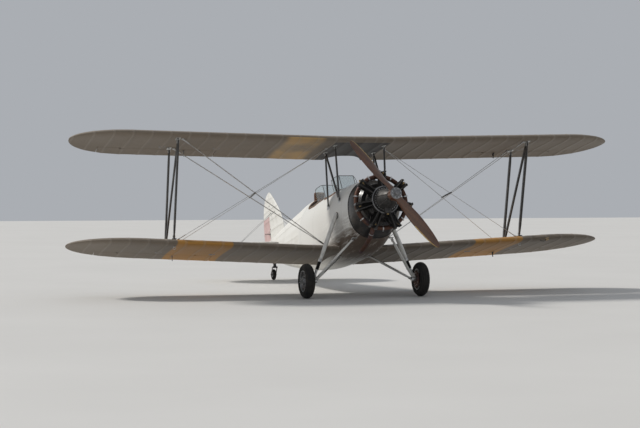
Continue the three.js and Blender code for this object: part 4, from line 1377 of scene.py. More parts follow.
class BIPLANE_OT_fuselage(bpy.types.Operator):
    """Hollow metal-panelled front section, cloth-covered rear section over stringers, and the nose fairing"""

    bl_idname = "biplane.fuselage"
    bl_label = "Fuselage"

    def execute(self, context):
        self.front()
        self.rear()
        self.nose()
        return {"FINISHED"}

    def front(self):
        """A hollow shell, open at both cockpits."""
        outer = Form(loft([hull_ring(aft) for aft in steps(FIREWALL, SPLIT - CLEAR, 44)]))
        inside = Form(loft([hull_ring(aft, -SKIN, count=60) for aft in steps(*CABIN, 14)]), finish=1)
        for _, low, high in COCKPITS:
            inside = inside.cut(Form(slab(cockpit_outline(low, high), 0.1, 1.0), finish=1), "UNION")
        piece("fuselage_front_shell", outer.cut(inside), [white_panels(), cabin_primer()],
              ["fuselage_front"], smooth=35)

    def rear(self):
        """Cloth that dips between the stringers, slotted for the elevator, and the tail wheel's socket."""
        rings = []
        for aft in steps(SPLIT, TAIL_END, 56):
            dip = STRINGER_DIP * min(1, (aft - SPLIT) / 0.12) * max(0.2, section(aft)[1] / 0.35)
            rings.append(hull_ring(aft, 0, SECTIONS, STRINGERS, dip))
        skin = Form(loft(rings)).cut(Form(block(TAIL_SLOT, (0, TAIL_SLOT_AFT, TAIL_MIDDLE), 0)))
        socket = [(0, 0.0), (0.030, 0.0), (0.032, 0.002), (0.032, 0.012), (0.027, 0.015), (0.027, 0.046),
                  (0.031, 0.048), (0.031, 0.060), (0.027, 0.062), (0.027, 0.074), (0.032, 0.080),
                  (0.036, 0.120), (0, 0.120)]
        skin.add(lathe(socket, (0, SWIVEL_AFT, CROWN + CLEAR), UP, 36), 1)
        bolts = []
        for rise in (0.006, 0.054):
            for angle in turns(4, 0.5):
                out = Vector((math.cos(angle), math.sin(angle), 0))
                bolts.append((out * 0.0318 + Vector((0, SWIVEL_AFT, CROWN + rise)), out))
        nuts("tail_socket_bolts", bolts, 0.0050, 0.006)
        piece("fuselage_rear_cloth", skin, [white_fabric(), strut_black()], ["fuselage_rear"],
              smooth=30)

    def nose(self):
        """Panels behind the engine, with a bead over the joint with the fuselage."""
        rings = [hull_ring(aft, 0, NOSE_SECTIONS) for aft in steps(NOSE_FRONT, FIREWALL - CLEAR, 16)]
        form = Form(loft(rings))
        form.add(tube([hull_point(-1.352, angle, 0.003) for angle in turns(96, more=1)], 0.004, 8, False))
        piece("nose_panels", form, [nose_black()], ["nose_fairing"])


# Tail surfaces
TAIL_HINGE = 4.240
TAIL_MIDDLE = 0.330
TAIL_HALF = 1.500
TAIL_TIP = 0.850
TAIL_LEADING = 3.440
TAIL_SWEEP = 0.120
TAIL_TRAILING = 4.660
TAIL_THICK = 0.062
TAIL_NOSE = 0.022
TAIL_EYES = (0.300, 1.000)
RUDDER_HINGE = 4.330
RUDDER_NOSE = 0.026
RUDDER_EYES = (0.720, 1.160)
RUDDER_BAND = (0.52, 0.98)
RUDDER_REACH = 0.510
RUDDER_ROUND = 2.6
FIN_BOTTOM = 0.120
FIN_TOP = 1.430
FIN_FOOT = 0.600
FIN_LEADING = 3.500
FIN_THICK = 0.058
FIN_MARGIN = 0.05
TAIL_STEPS = 18
TAIL_TAPE = 0.0145
TAILPLANE_RIBS = (0.10, 0.34, 0.58, 0.82, 1.06)
FIN_RIBS = (0.30, 0.50, 0.70, 0.90, 1.10, 1.30)


def tail_section(leading, trailing, thickness, place, tape=0.0, dip=0.0):
    """A symmetrical section between two edges, given through `place` as (aft, offset) points."""
    ring = []
    length = trailing - leading
    for i in range(-TAIL_STEPS, TAIL_STEPS + 1):
        share = chord_share(i, TAIL_STEPS)
        half = length * 5 * (thickness / length) * aerofoil(share) + share * EDGE / 2
        half += tape - dip * held_off(share, 0.08)
        ring.append(place(leading + share * length, -half if i < 0 else half))
    return ring


def tailplane_section(x, tape=0.0, dip=0.0):
    """The tailplane and elevator in one, at a distance from the middle."""
    shrink = rounding(abs(x), TAIL_TIP, TAIL_HALF)
    leading = TAIL_LEADING + TAIL_SWEEP * abs(x) / TAIL_HALF
    half = (TAIL_TRAILING - leading) / 2
    return tail_section(leading + shrink * half, TAIL_TRAILING - shrink * half,
                        TAIL_THICK * (1 - 0.7 * shrink),
                        lambda aft, above: Vector((x, aft, TAIL_MIDDLE + above)), tape, dip)


def fin_section(height, tape=0.0, dip=0.0):
    """The fin and rudder in one, at a height."""
    lift = within((height - FIN_FOOT) / (FIN_TOP - FIN_FOOT))
    leading = FIN_LEADING + (RUDDER_HINGE - FIN_LEADING) * lift ** 1.6
    rise = abs(height - (FIN_TOP + FIN_BOTTOM) / 2) / ((FIN_TOP - FIN_BOTTOM) / 2)
    trailing = RUDDER_HINGE + RUDDER_REACH * max(0, 1 - rise ** RUDDER_ROUND) ** (1 / RUDDER_ROUND)
    return tail_section(leading, trailing, FIN_THICK * (1 - 0.5 * rise ** 6),
                        lambda aft, across: Vector((across, aft, height)), tape, dip)


def ribbed(places, rims, dip):
    """[place, tape, dip] rows: a taped rib at each place and a dip halfway between two."""
    rows = [(rim, 0, 0) for rim in rims]
    for place, after in zip(places, places[1:] + places[-1:]):
        for reach, tape in ((TAIL_TAPE + 0.0015, 0), (TAIL_TAPE, 0.001)):
            rows += [(place - reach, tape, 0), (place + reach, tape, 0)]
        if after > place:
            rows += [(place + (after - place) * spot, 0, sag(dip, spot)) for spot in (0.25, 0.5, 0.75)]
    return sorted(rows)


class BIPLANE_OT_tail(bpy.types.Operator):
    """Tailplane, elevator, fin and rudder, cloth over ribs"""

    bl_idname = "biplane.tail"
    bl_label = "Tail"

    def execute(self, context):
        self.tailplane()
        self.fin()
        return {"FINISHED"}

    def tailplane(self):
        """The elevator is notched round the rudder's foot and joined across it by a torque tube."""
        ribs = sorted(side * rib for rib in TAILPLANE_RIBS for side in (-1, 1))
        rims = [side * rim for rim in tip_rim(TAIL_TIP, TAIL_HALF, 5, 12) + [1.4955] for side in (-1, 1)]
        whole = Form(loft([tailplane_section(*row) for row in ribbed(ribs, rims, 0.003)]))
        place = hinge_frame(*(Vector((x, TAIL_HINGE, TAIL_MIDDLE)) for x in (-TAIL_HALF, 0)))
        eyes = [TAIL_HALF + side * out for out in TAIL_EYES for side in (-1, 1)]
        notch = [(-0.072, 4.1), (0.072, 4.1), (0.072, 4.262), (0.235, 4.76), (-0.235, 4.76), (-0.072, 4.262)]
        fixed, moving = hinged(whole, place, 2 * TAIL_HALF, TAIL_NOSE, eyes,
                               moving_less=Form(slab(notch, 0.13, 0.53)))
        moving.add(tube([(side * 0.09, TAIL_HINGE, TAIL_MIDDLE) for side in (-1, 1)], 0.016, 24), 1)
        piece("tailplane_skin", fixed, [tailplane_fabric(), strut_black()], ["tailplane"],
              smooth=40)
        piece("elevator_skin", moving, [tailplane_fabric(), bright_steel()], ["elevator"],
              "elevator", 40)

    def fin(self):
        """The fin ends over the tailplane; the rudder goes on down to the fuselage's foot."""
        rims = [FIN_BOTTOM + (FIN_TOP - FIN_BOTTOM) * share
                for share in (0.004, 0.012, 0.03, 0.06, 0.1, 0.92, 0.95, 0.975, 0.99, 0.996)]
        whole = Form(loft([fin_section(*row) for row in ribbed(FIN_RIBS, rims, 0.0025)]))
        upright = frame_of(UP, AFT, -PORT, Vector((0, RUDDER_HINGE, FIN_BOTTOM - FIN_MARGIN)))
        eyes = [height - FIN_BOTTOM + FIN_MARGIN for height in RUDDER_EYES]
        below = Form(block((0.4, 2.0, 1.0), (0, RUDDER_HINGE, FIN_FOOT - 0.120 - 0.5), 0))
        fixed, moving = hinged(whole, upright, FIN_TOP - FIN_BOTTOM + 2 * FIN_MARGIN, RUDDER_NOSE, eyes,
                               fixed_less=below)
        piece("fin_skin", fixed, [tail_fabric(), strut_black()], ["fin"], smooth=40)
        piece("rudder_skin", moving, [tail_fabric(), bright_steel()], ["rudder"], "rudder",
              40)


# Engine: seven cylinders round the shaft, each drawn upright and turned to its place
CYLINDERS = 7
CYLINDER_AFT = -1.850
CASE_RADIUS = 0.185
PAD = 0.192
ENGINE_FRONT = -2.290
SUMP_AFT = -2.005
COLLECTOR_RADIUS = 0.398
COLLECTOR_AFT = -1.738
COLLECTOR_TUBE = 0.034
STUB_TUBE = 0.019
PIPE_ANGLE = math.radians(202)
HEAD_BACK = 0.0623
ROCKER_LEAN = 0.30
PROPELLER_TILT = math.radians(38.5)


def cylinder_turns():
    return [posed((0, CYLINDER_AFT, 0), angle, "Y") for angle in turns(CYLINDERS)]


def around(angle, radius, aft):
    """A point round the shaft, its angle counted from the top."""
    return Vector((math.sin(angle) * radius, aft, math.cos(angle) * radius))


def repeated(shapes):
    """The same shapes on every cylinder, as one form; each shape comes with its finish."""
    form = Form()
    for turn in cylinder_turns():
        for shape, finish in shapes:
            form.add(moved(shape, turn), finish)
    return form


class BIPLANE_OT_engine(bpy.types.Operator):
    """Open radial engine: crankcase, finned cylinders, rocker boxes, pushrods, intakes, plugs and exhaust"""

    bl_idname = "biplane.engine"
    bl_label = "Engine"

    def execute(self, context):
        self.crankcase()
        self.crankcase_nuts()
        self.barrels()
        self.heads()
        self.plumbing()
        self.ignition()
        self.exhaust()
        return {"FINISHED"}

    def crankcase(self):
        """Turned case with a pad under each cylinder, ribs on its nose and the sump below."""
        profile = [(0, ENGINE_FRONT), (0.058, ENGINE_FRONT), (0.066, -2.286), (0.069, -2.272),
                   (0.084, -2.268), (0.086, -2.256), (0.086, -2.246), (0.078, -2.242), (0.098, -2.205),
                   (0.121, -2.140), (0.141, -2.070), (0.155, -2.012), (0.163, -1.978), (0.182, -1.974),
                   (0.184, -1.962), (0.184, -1.944), (CASE_RADIUS, -1.938), (CASE_RADIUS, -1.775),
                   (0.205, -1.768), (0.238, -1.752), (0.240, -1.745), (0.240, -1.6905), (0, -1.6905)]
        form = Form(lathe(profile, ZERO, AFT, 84))
        for turn in cylinder_turns():
            form.add(moved(block((0.138, 0.138, 0.060), (0, 0, PAD - 0.030), 0.010, 2), turn))
            between = turn @ posed((0, -CYLINDER_AFT, 0), math.pi / CYLINDERS, "Y")
            form.add(moved(strut((0, -2.235, 0.083), (0, -1.985, 0.160), 0.010, 0.030, 10, 0.9), between))
        form.add(block((0.100, 0.095, 0.120), (0, SUMP_AFT, -0.165), 0.028, 3))
        form.add(plug(0.016, 0.0, -0.014, (0, SUMP_AFT, -0.226), UP, 6), 1)
        piece("engine_case", form, [cast_metal(), brass()], ["crankcase"], smooth=30)

    def crankcase_nuts(self):
        """Nuts round the case's three flanges and round the foot of each cylinder."""
        places = []
        for radius, aft, count in ((0.173, -1.976, 28), (0.077, -2.270, 14), (0.222, -1.758, 28)):
            places += [(around(angle, radius, aft), -AFT) for angle in turns(count, 0.5)]
        for turn in cylinder_turns():
            places += [standing(turn, (0.0615 * math.sin(angle), 0.0615 * math.cos(angle), PAD + 0.013))
                       for angle in turns(10, 0.5)]
        nuts("crankcase_nuts", places, 0.0062, 0.008)

    def barrels(self):
        """Barrels with their ports, and the stacks of cooling fins on them."""
        barrel = lathe([(0, PAD + CLEAR), (0.070, PAD + CLEAR), (0.070, PAD + 0.009), (0.054, PAD + 0.011),
                        (0.051, 0.212), (0.051, 0.368), (0.058, 0.372), (0.060, 0.395), (0.054, 0.420),
                        (0.036, 0.436), (0, 0.440)], ZERO, UP, 36)
        port = tube([(0, 0.035, 0.398), (0, 0.060, 0.398)], 0.027, 24)
        bend = curved([(0.046, 0.020, 0.388), (0.050, 0.048, 0.386), (0.052, 0.062, 0.380)], 4)
        inlet = tube(bend, 0.023, 20)
        piece("barrels", repeated([(barrel, 0), (port, 0), (inlet, 0)]), [cylinder_black()],
              [f"cylinder_{k + 1}" for k in range(CYLINDERS)])
        places = [standing(turn, (0, 0, 0.214)) for turn in cylinder_turns()]
        mesh = fin_tree().run(points_mesh(places), Count=sizes().cooling_fins, Rise=0.148, Radius=0.0675,
                              Thickness=0.0017, Material=cylinder_black())
        settle("barrel_fins", mesh)

    def heads(self):
        """Fins on the cylinder heads, and the two rocker boxes with their caps and nuts."""
        outline = squared(turns(32), 0.066, 0.062, 0.55)
        fins = [(slab(outline, rise, rise + 0.0018), 0) for rise in steps(0.369, 0.417, 6)]
        fins += [(block((0.0022, 0.100, 0.034), (x, 0, 0.434), 0.0006), 0) for x in steps(-0.018, 0.018, 4)]
        piece("cylinder_head_fins", repeated(fins), [cylinder_black()])
        leans = [posed((side * 0.040, -0.004, 0.428), side * ROCKER_LEAN, "Y") for side in (-1, 1)]
        shapes = [(moved(block((0.034, 0.088, 0.048), ZERO, 0.009, 3), lean), 0) for lean in leans]
        for lean in leans:
            shapes += [(moved(block((0.041, 0.097, 0.005), (0, 0, 0.0255), 0.002, 2), lean), 1),
                       (moved(block((0.036, 0.090, 0.008), (0, 0, 0.0305), 0.0035, 2), lean), 1)]
        piece("rocker_boxes", repeated(shapes), [cast_metal(), nose_black()])
        nuts("rocker_box_nuts", [standing(turn @ lean, (0, y, 0.035)) for turn in cylinder_turns()
                                 for lean in leans for y in (-0.040, 0.040, 0)], 0.0045, 0.005)

    def plumbing(self):
        """Pushrod tubes in front of each cylinder and intake pipes behind."""
        shapes = []
        for side in (-1, 1):
            foot, head = Vector((side * 0.027, -0.098, 0.172)), Vector((side * 0.043, -0.047, 0.418))
            shapes += [(tube([foot, head], 0.0078, 14), 0),
                       (tube([foot, foot.lerp(head, 0.08)], 0.0125, 12), 1),
                       (tube([foot.lerp(head, 0.90), head], 0.0115, 12), 1)]
        piece("pushrod_tubes", repeated(shapes), [nose_black(), cast_metal()])
        path = curved([(0.052, 0.150, 0.190), (0.053, 0.132, 0.250), (0.054, 0.092, 0.330),
                       (0.052, 0.066, 0.378)], 7)
        shapes = [(tube(path, 0.0175, 18), 0), (tube(path[:2], 0.023, 18), 1),
                  (tube(path[-2:], 0.023, 18), 1)]
        piece("intake_pipes", repeated(shapes), [nose_black(), cast_metal()])

    def ignition(self):
        """Two plugs on each head with their leads, and the ring in front that the front leads run to."""
        plugs, leads = [], []
        for fore in (-1, 1):
            seat = Vector((0, fore * 0.046, 0.392))
            out = Vector((0, fore * 0.78, 0.62)).normalized()
            profile = [(0, 0.0), (0.011, 0.0), (0.011, 0.010), (0.0075, 0.012), (0.0065, 0.030),
                       (0.0085, 0.032), (0.0085, 0.046), (0, 0.048)]
            plugs.append((lathe(profile, seat, out, 12), 0))
            tip = seat + out * 0.044
            end = Vector((0.018, -0.098, 0.205)) if fore < 0 else Vector((0.030, 0.110, 0.235))
            path = curved([tip, tip + out * 0.014 + Vector((0.006, 0, -0.004)),
                           tip + Vector((0.030, fore * 0.030, -0.050)),
                           end + Vector((0, fore * 0.012, 0.040)), end], 6)
            leads.append((tube(path, 0.0042, 8), 1))
        piece("plugs_and_leads", repeated(plugs + leads), [brass(), rubber()])
        ring = [around(angle, 0.205, CYLINDER_AFT - 0.098) for angle in turns(72, more=1)]
        piece("ignition_ring", Form(tube(ring, 0.0105, 12)), [wheel_metal()])

    def exhaust(self):
        """Collector ring with a stub from each head, its clamps, and the pipe that leads away below."""
        radius, aft = COLLECTOR_RADIUS, COLLECTOR_AFT
        ring = [around(angle, radius, aft) for angle in turns(112, more=1)]
        form, clamps = Form(tube(ring, COLLECTOR_TUBE, 22, False)), Form()
        for angle in turns(CYLINDERS):
            head = around(angle, radius, CYLINDER_AFT + HEAD_BACK)
            stub = [head, around(angle, radius, aft - 0.030), around(angle, radius, aft)]
            form.add(tube(stub, STUB_TUBE, 20))
            clamps.add(tube([head, head + Vector((0, 0.006, 0))], 0.029, 6))
            middle = angle + math.pi / CYLINDERS
            clamps.add(tube([around(middle + turn, radius, aft) for turn in (-0.022, 0.022)], 0.0375, 24))
            lug = posed(around(middle, radius + 0.040, aft), middle, "Y")
            clamps.add(block((0.012, 0.030, 0.018), lug, 0.002))
        low = around(PIPE_ANGLE, radius, aft)
        path = curved([low, (low.x - 0.008, -1.690, -0.440), (low.x - 0.012, -1.580, -0.520),
                       (low.x - 0.012, -1.380, -0.590), (low.x - 0.012, -1.120, -0.650)], 9)
        form.add(pipe(path, 0.033, 0.0285))
        clamps.add(tube(path[12:14], 0.038, 24))
        piece("exhaust_collector", form, [heat_stained_steel()], ["exhaust_ring"])
        piece("exhaust_clamps", clamps, [bright_steel()])


# Propeller: radius, blade width, blade thickness
BLADE = ((0.060, 0.120, 0.092), (0.160, 0.128, 0.070), (0.300, 0.150, 0.046), (0.480, 0.166, 0.033),
         (0.660, 0.158, 0.025), (0.820, 0.134, 0.019), (0.940, 0.100, 0.014), (1.005, 0.062, 0.010),
         (1.030, 0.024, 0.007))
PITCH = 1.500
HUB_HALF = 0.062
HUB_FRONT = PROPELLER_AFT - HUB_HALF - CLEAR
HUB_BACK = PROPELLER_AFT + HUB_HALF + CLEAR
SHEATH = (-0.10, 0.10)


def blade_ring(radius, count=40, grow=0.0, part=None):
    """The blade's section at a radius, or the part of it between two shares of the way round."""
    before, low, high, beyond = rows_round(BLADE, radius)
    t = (radius - low[0]) / (high[0] - low[0])
    width, thickness = (between_four(*four, t) for four in zip(before[1:], low[1:], high[1:], beyond[1:]))
    twist = math.atan(PITCH / (2 * math.pi * max(radius, 0.150)))
    ring = []
    for angle in [2 * math.pi * share for share in steps(*part, count - 1)] if part else turns(count):
        across = math.cos(angle) * (width / 2 + grow)
        deep = math.sin(angle) * (thickness / 2 + grow) * (0.6 if math.sin(angle) > 0 else 1.4)
        ring.append(Vector((across * math.cos(twist) - deep * math.sin(twist),
                            across * math.sin(twist) + deep * math.cos(twist), radius)))
    return ring


class BIPLANE_OT_propeller(bpy.types.Operator):
    """Laminated wooden propeller with metal leading edges, its hub plates, bolts and shaft nut"""

    bl_idname = "biplane.propeller"
    bl_label = "Propeller"

    def execute(self, context):
        sides = [posed((0, PROPELLER_AFT, 0), -PROPELLER_TILT + half, "Y") for half in (0, math.pi)]
        self.blades(sides)
        self.sheaths(sides)
        self.hub()
        return {"FINISHED"}

    def blades(self, sides):
        """Two blades that run through the boss between the hub's plates."""
        radii = steps(0.045, 1.000, 52) + [1.010, 1.018, 1.024, 1.0285]
        blade = loft([blade_ring(radius) for radius in radii])
        form = Form(*(moved(blade, side) for side in sides))
        boss = [(0, -HUB_HALF), (0.086, -HUB_HALF), (0.092, -HUB_HALF + 0.006), (0.092, HUB_HALF - 0.006),
                (0.086, HUB_HALF), (0, HUB_HALF)]
        form.add(lathe(boss, (0, PROPELLER_AFT, 0), AFT, 64))
        piece("propeller_blades", form, [laminated_wood()], ["propeller"], "propeller")

    def sheaths(self, sides):
        """Thin brass over the outer leading edges, with its rivets."""
        form, heads = Form(), []
        radii = steps(0.560, 1.000, 22) + [1.012, 1.022, 1.0275]
        outer, inner = ([blade_ring(radius, 14, grow, SHEATH) for radius in radii]
                        for grow in (0.0012, 0.0001))
        for side in sides:
            form.add(moved(loft([a + b[::-1] for a, b in zip(outer, inner)]), side))
            for radius in steps(0.580, 0.980, 16):
                ring = blade_ring(radius, 14, 0.0012, (-0.085, 0.085))
                heads += [(side @ ring[0], side.to_3x3() @ -AFT), (side @ ring[-1], side.to_3x3() @ AFT)]
        piece("propeller_sheaths", form, [brass()], body="propeller")
        rivets("propeller_sheath_rivets", heads, 0.0028, 0.0012, brass(), "propeller")

    def hub(self):
        """Plates on both faces of the boss, the shaft nut in front and the bolts through them."""
        plate = HUB_FRONT - 0.012
        form = Form(lathe([(0, HUB_FRONT - 0.052), (0.020, HUB_FRONT - 0.052), (0.024, HUB_FRONT - 0.049),
                           (0.031, HUB_FRONT - 0.044), (0.034, HUB_FRONT - 0.038), (0.034, plate - 0.004),
                           (0.050, plate - 0.002), (0.052, plate), (0.084, plate), (0.088, plate + 0.003),
                           (0.088, HUB_FRONT), (0, HUB_FRONT)], ZERO, AFT, 64))
        back, front = HUB_BACK + 0.007, ENGINE_FRONT - CLEAR
        form.add(lathe([(0, HUB_BACK), (0.086, HUB_BACK), (0.086, back), (0.030, back), (0.030, front),
                        (0, front)], ZERO, AFT, 48))
        piece("hub_plates", form, [wheel_metal()], ["propeller_hub"], "propeller")
        bolts = [(around(angle, 0.069, plate - 0.004), -AFT) for angle in turns(8, 0.5)]
        nuts("propeller_bolts", bolts, 0.0095, 0.011, "propeller")


# Struts and wires: each end has a fork, a pin and a pad
STRUT_SIZE = (0.034, 0.092)
CABANE_SIZE = (0.026, 0.066)
CABANE_OUT = 0.405
CABANE_FEET = (-0.900, -0.360)
CABANE_HEADS = (-0.935, -0.420)
CABANE_ENDS = (*zip(CABANE_FEET, CABANE_HEADS), (CABANE_FEET[0], CABANE_HEADS[1]))
WIRE_OUT = 2.830
# Wires' inner ends: distance out, share of the chord
FLYING_ROOT = (0.445, 0.3)
LANDING_ROOT = (0.485, 0.42)
SPARS = (FRONT_SPAR, REAR_SPAR)


def end_frame(spot, along):
    """A matrix at a strut's end: z along it, y fore and aft across it."""
    along = along.normalized()
    deep, _ = across_of(along, AFT)
    return frame_of(deep.cross(along), deep, along, spot)


def pin(half, up, radius, sides):
    """A pin across an end frame, at a height on it."""
    return tube([(-half, 0, up), (half, 0, up)], radius, sides)


def turned(spot, along, profile, sides):
    """A round bar along a straight line from [distance, radius] pairs."""
    return tube([spot + along * far for far, _ in profile], [radius for _, radius in profile], sides)


def add_strut(form, low, high, width, depth, end=0.034):
    """A strut and its end fittings; finish 0 is the strut's and 1 the fittings'."""
    along = (high - low).normalized()
    form.add(strut(low + along * end * 0.6, high - along * end * 0.6, width, depth))
    for spot, inward in ((low, along), (high, -along)):
        place = end_frame(spot, inward)
        for side in (-1, 1):
            ear = block((0.005, depth * 0.36, end * 2), (side * width * 0.40, 0, end), 0.002)
            form.add(moved(ear, place), 1)
        form.add(moved(pin(width * 0.66, end * 1.3, 0.006, 10), place), 1)


def skin_frame(wing, out, share, upper):
    """A matrix on a port wing's skin, its z pointing away from the wing."""
    spot = wing.on_skin(1, out, share, upper)
    away = wing.on_skin(1, out, share, upper, 0.01) - spot
    beside = wing.on_skin(1, out + 0.05, share, upper) - spot
    deep = away.cross(beside).normalized()
    return frame_of(deep.cross(away).normalized(), deep, away.normalized(), spot)


def nearest(first, second):
    """The middle of the shortest link between two straight lines, each given by two points."""
    a, b = first[0], second[0]
    u, v = first[1] - a, second[1] - b
    w = a - b
    uu, uv, vv, uw, vw = u.dot(u), u.dot(v), v.dot(v), u.dot(w), v.dot(w)
    base = uu * vv - uv * uv
    return (a + u * ((uv * vw - vv * uw) / base) + b + v * ((uu * vw - uv * uw) / base)) / 2


def centre_underside(aft):
    """Height of the centre section's lower skin."""
    return CENTRE.on_skin(1, 0, (aft - UPPER.mid_aft) / CHORD + 0.5, False).z


class BIPLANE_OT_bracing(bpy.types.Operator):
    """N struts between the wings and over the fuselage, bracing wires, and the tail's struts and wires"""

    bl_idname = "biplane.bracing"
    bl_label = "Bracing"

    def execute(self, context):
        self.interplane()
        self.cabane()
        self.wires()
        self.tail()
        return {"FINISHED"}

    def interplane(self):
        """N struts with base plates and nuts where they meet the wings' skins."""
        form, places = Form(), []
        for wing in (UPPER, LOWER):
            for share in SPARS:
                place = skin_frame(wing, STRUT_OUT, share, wing is LOWER)
                form.add(moved(block((0.070, 0.130, 0.006), (0, 0, 0.0018), 0.002), place), 1)
                places += [standing(place, (x, y, 0.007)) for x in (-0.026, 0.026) for y in (-0.052, 0.052)]
        feet, heads = ([wing.on_skin(1, STRUT_OUT, share, wing is LOWER, 0.004) for share in SPARS]
                       for wing in (LOWER, UPPER))
        for foot, head in zip(feet, heads):
            add_strut(form, foot, head, *STRUT_SIZE)
        step = AFT * 0.028
        add_strut(form, feet[1] - step, heads[0] + step, STRUT_SIZE[0] * 0.9, STRUT_SIZE[1] * 0.8)
        pair("interplane_struts_{}", form, [strut_black(), bright_steel()],
             ["interplane_strut_{}"])
        nuts("interplane_nuts", both_sides(places), 0.0058, 0.007)

    def cabane(self):
        """N struts from the fuselage's side to the centre section, with a plate under each end."""
        form = Form()
        for low, high in CABANE_ENDS:
            head = Vector((CABANE_OUT, high, centre_underside(high) - 0.002))
            add_strut(form, hull_side(low, 0.200, 0.006), head, *CABANE_SIZE, 0.026)
        for aft in CABANE_FEET:
            turn = posed(hull_side(aft, 0.200), math.radians(-12), "Y")
            form.add(moved(block((0.006, 0.110, 0.070), (0.002, 0, 0), 0.002), turn), 1)
        for aft in CABANE_HEADS:
            spot = (CABANE_OUT, aft, centre_underside(aft) - 0.001)
            form.add(block((0.050, 0.100, 0.005), spot, 0.0015), 1)
        pair("cabane_struts_{}", form, [strut_black(), bright_steel()], ["cabane_strut_{}"])

    def wire(self, form, low, high, apart=0.0):
        """A wire, or two side by side, with a screwed end barrel and a fork at each end."""
        along = (high - low).normalized()
        deep, _ = across_of(along, AFT)
        barrel = ((0.030, 0.004), (0.038, 0.0058), (0.046, 0.0066), (0.125, 0.0066), (0.133, 0.0055),
                  (0.140, 0.004))
        for offset in ([-apart / 2, apart / 2] if apart else [0]):
            start, end = low + deep * offset, high + deep * offset
            form.add(tube([start, end], sizes().wire / 2, 8))
            for spot, inward in ((start, along), (end, -along)):
                form.add(turned(spot, inward, barrel, 10))
                place = end_frame(spot, inward)
                form.add(moved(block((0.014, 0.014, 0.046), (0, 0, 0.014), 0.003), place))
                form.add(moved(pin(0.012, 0.006, 0.0042, 8), place))

    def wires(self):
        """Double flying wires, single landing wires and the spindle where they cross."""
        flying, landing, crossings = Form(), Form(), []
        for share in SPARS:
            rise = (LOWER.on_skin(1, *FLYING_ROOT, True, 0.026),
                    UPPER.on_skin(1, WIRE_OUT, share, False, 0.006))
            fall = (UPPER.on_skin(1, *LANDING_ROOT, False, 0.008),
                    LOWER.on_skin(1, WIRE_OUT, share, True, 0.006))
            self.wire(flying, *rise, 0.026)
            self.wire(landing, *fall)
            crossings.append(nearest(rise, fall))
        root = block((0.040, 0.075, 0.026), (0, 0, 0.012), 0.004, 2)
        flying.add(moved(root, skin_frame(LOWER, *FLYING_ROOT, True)))
        root = block((0.036, 0.070, 0.012), (0, 0, 0.006), 0.003, 2)
        landing.add(moved(root, skin_frame(UPPER, *LANDING_ROOT, False)))
        for share in SPARS:
            for wing, form in ((UPPER, flying), (LOWER, landing)):
                place = skin_frame(wing, WIRE_OUT, share, wing is LOWER)
                form.add(moved(block((0.034, 0.060, 0.008), (0, 0, 0.003), 0.002), place))
        front, rear = crossings
        reach = (rear - front).normalized() * 0.060
        path = [(front - reach).lerp(rear + reach, spot) for spot in (0, 0.02, 0.08, 0.5, 0.92, 0.98, 1)]
        spindle = Form(tube(path, [0.002, 0.006, 0.010, 0.014, 0.010, 0.006, 0.002], 14))
        pair("flying_wire_set_{}", flying, [bright_steel()], ["flying_wires_{}"])
        pair("landing_wire_set_{}", landing, [bright_steel()], ["landing_wires_{}"])
        pair("wire_spindle_{}", spindle, [strut_black()])

    def tail(self):
        """A strut below each side of the tailplane, and wires from the fin to its top."""
        foot, head = hull_side(3.760, 0.020), Vector((0.800, 3.800, TAIL_MIDDLE - 0.026))
        form = Form()
        add_strut(form, foot, head, 0.020, 0.046, 0.022)
        form.add(block((0.036, 0.070, 0.005), head, 0.0015), 1)
        pair("tailplane_struts_{}", form, [strut_white(), bright_steel()],
             ["tailplane_strut_{}"])
        form = Form()
        for fin, tip in (((0.020, 3.980, 1.000), (0.780, 3.700, TAIL_MIDDLE + 0.030)),
                         ((0.018, 4.215, 1.020), (0.780, 4.180, TAIL_MIDDLE + 0.022))):
            self.wire(form, Vector(fin), Vector(tip))
            form.add(block((0.026, 0.044, 0.006), tip, 0.0015))
            form.add(block((0.006, 0.044, 0.034), (fin[0] + 0.001, *fin[1:]), 0.0015))
        pair("tail_wires_{}", form, [bright_steel()])


# Landing gear
WHEEL_CENTRE = LEVEL @ Vector(JOINTS["wheel_left_spin"]["pos_m"])
WHEEL_RADIUS = 0.270
TREAD = 0.065
TYRE_HALF = 0.075
BEAD_ANGLE = 35
GROOVES = (-0.046, -0.0155, 0.0155, 0.046)
GROOVE_HALF = 0.0036
GROOVE_DEPTH = 0.0045
RIM = WHEEL_RADIUS - TREAD * (1 + math.sin(math.radians(BEAD_ANGLE))) - CLEAR
AXLE_RADIUS = 0.022
WHEEL_BORE = AXLE_RADIUS + 2 * CLEAR
HUB_HALF_WIDTH = 0.070
BRACKET = 0.822
GEAR_STRUT = (0.034, 0.074)
FRONT_STRUT_TOP = Vector((0.312, -1.238, -0.468))
REAR_STRUT_TOP = Vector((0.232, -0.314, -0.574))
LEG_TOP = Vector((0.412, -0.799, 0.020))
LEG_FOOT = Vector((0.828, -0.732, -1.000))


def tyre_profile(middle, half, width, low, high, count, grooves=()):
    """[radius, distance along the axle] round a tyre's section, with grooves in the tread."""
    rows = []
    for angle in steps(low, high, count):
        angle = math.radians(angle)
        radius, along = middle + half * math.sin(angle), width * math.cos(angle)
        if math.sin(angle) > 0 and any(abs(along - groove) < GROOVE_HALF for groove in grooves):
            radius -= GROOVE_DEPTH
        rows.append((radius, along))
    return rows


def on_axle(x):
    """A point on the line of the main axles."""
    return Vector((x, WHEEL_CENTRE.y, WHEEL_CENTRE.z))


def off_axle(radius, angle, along=0.0):
    """A step away from an axle, round it and along it."""
    return Vector((along, math.cos(angle) * radius, math.sin(angle) * radius))


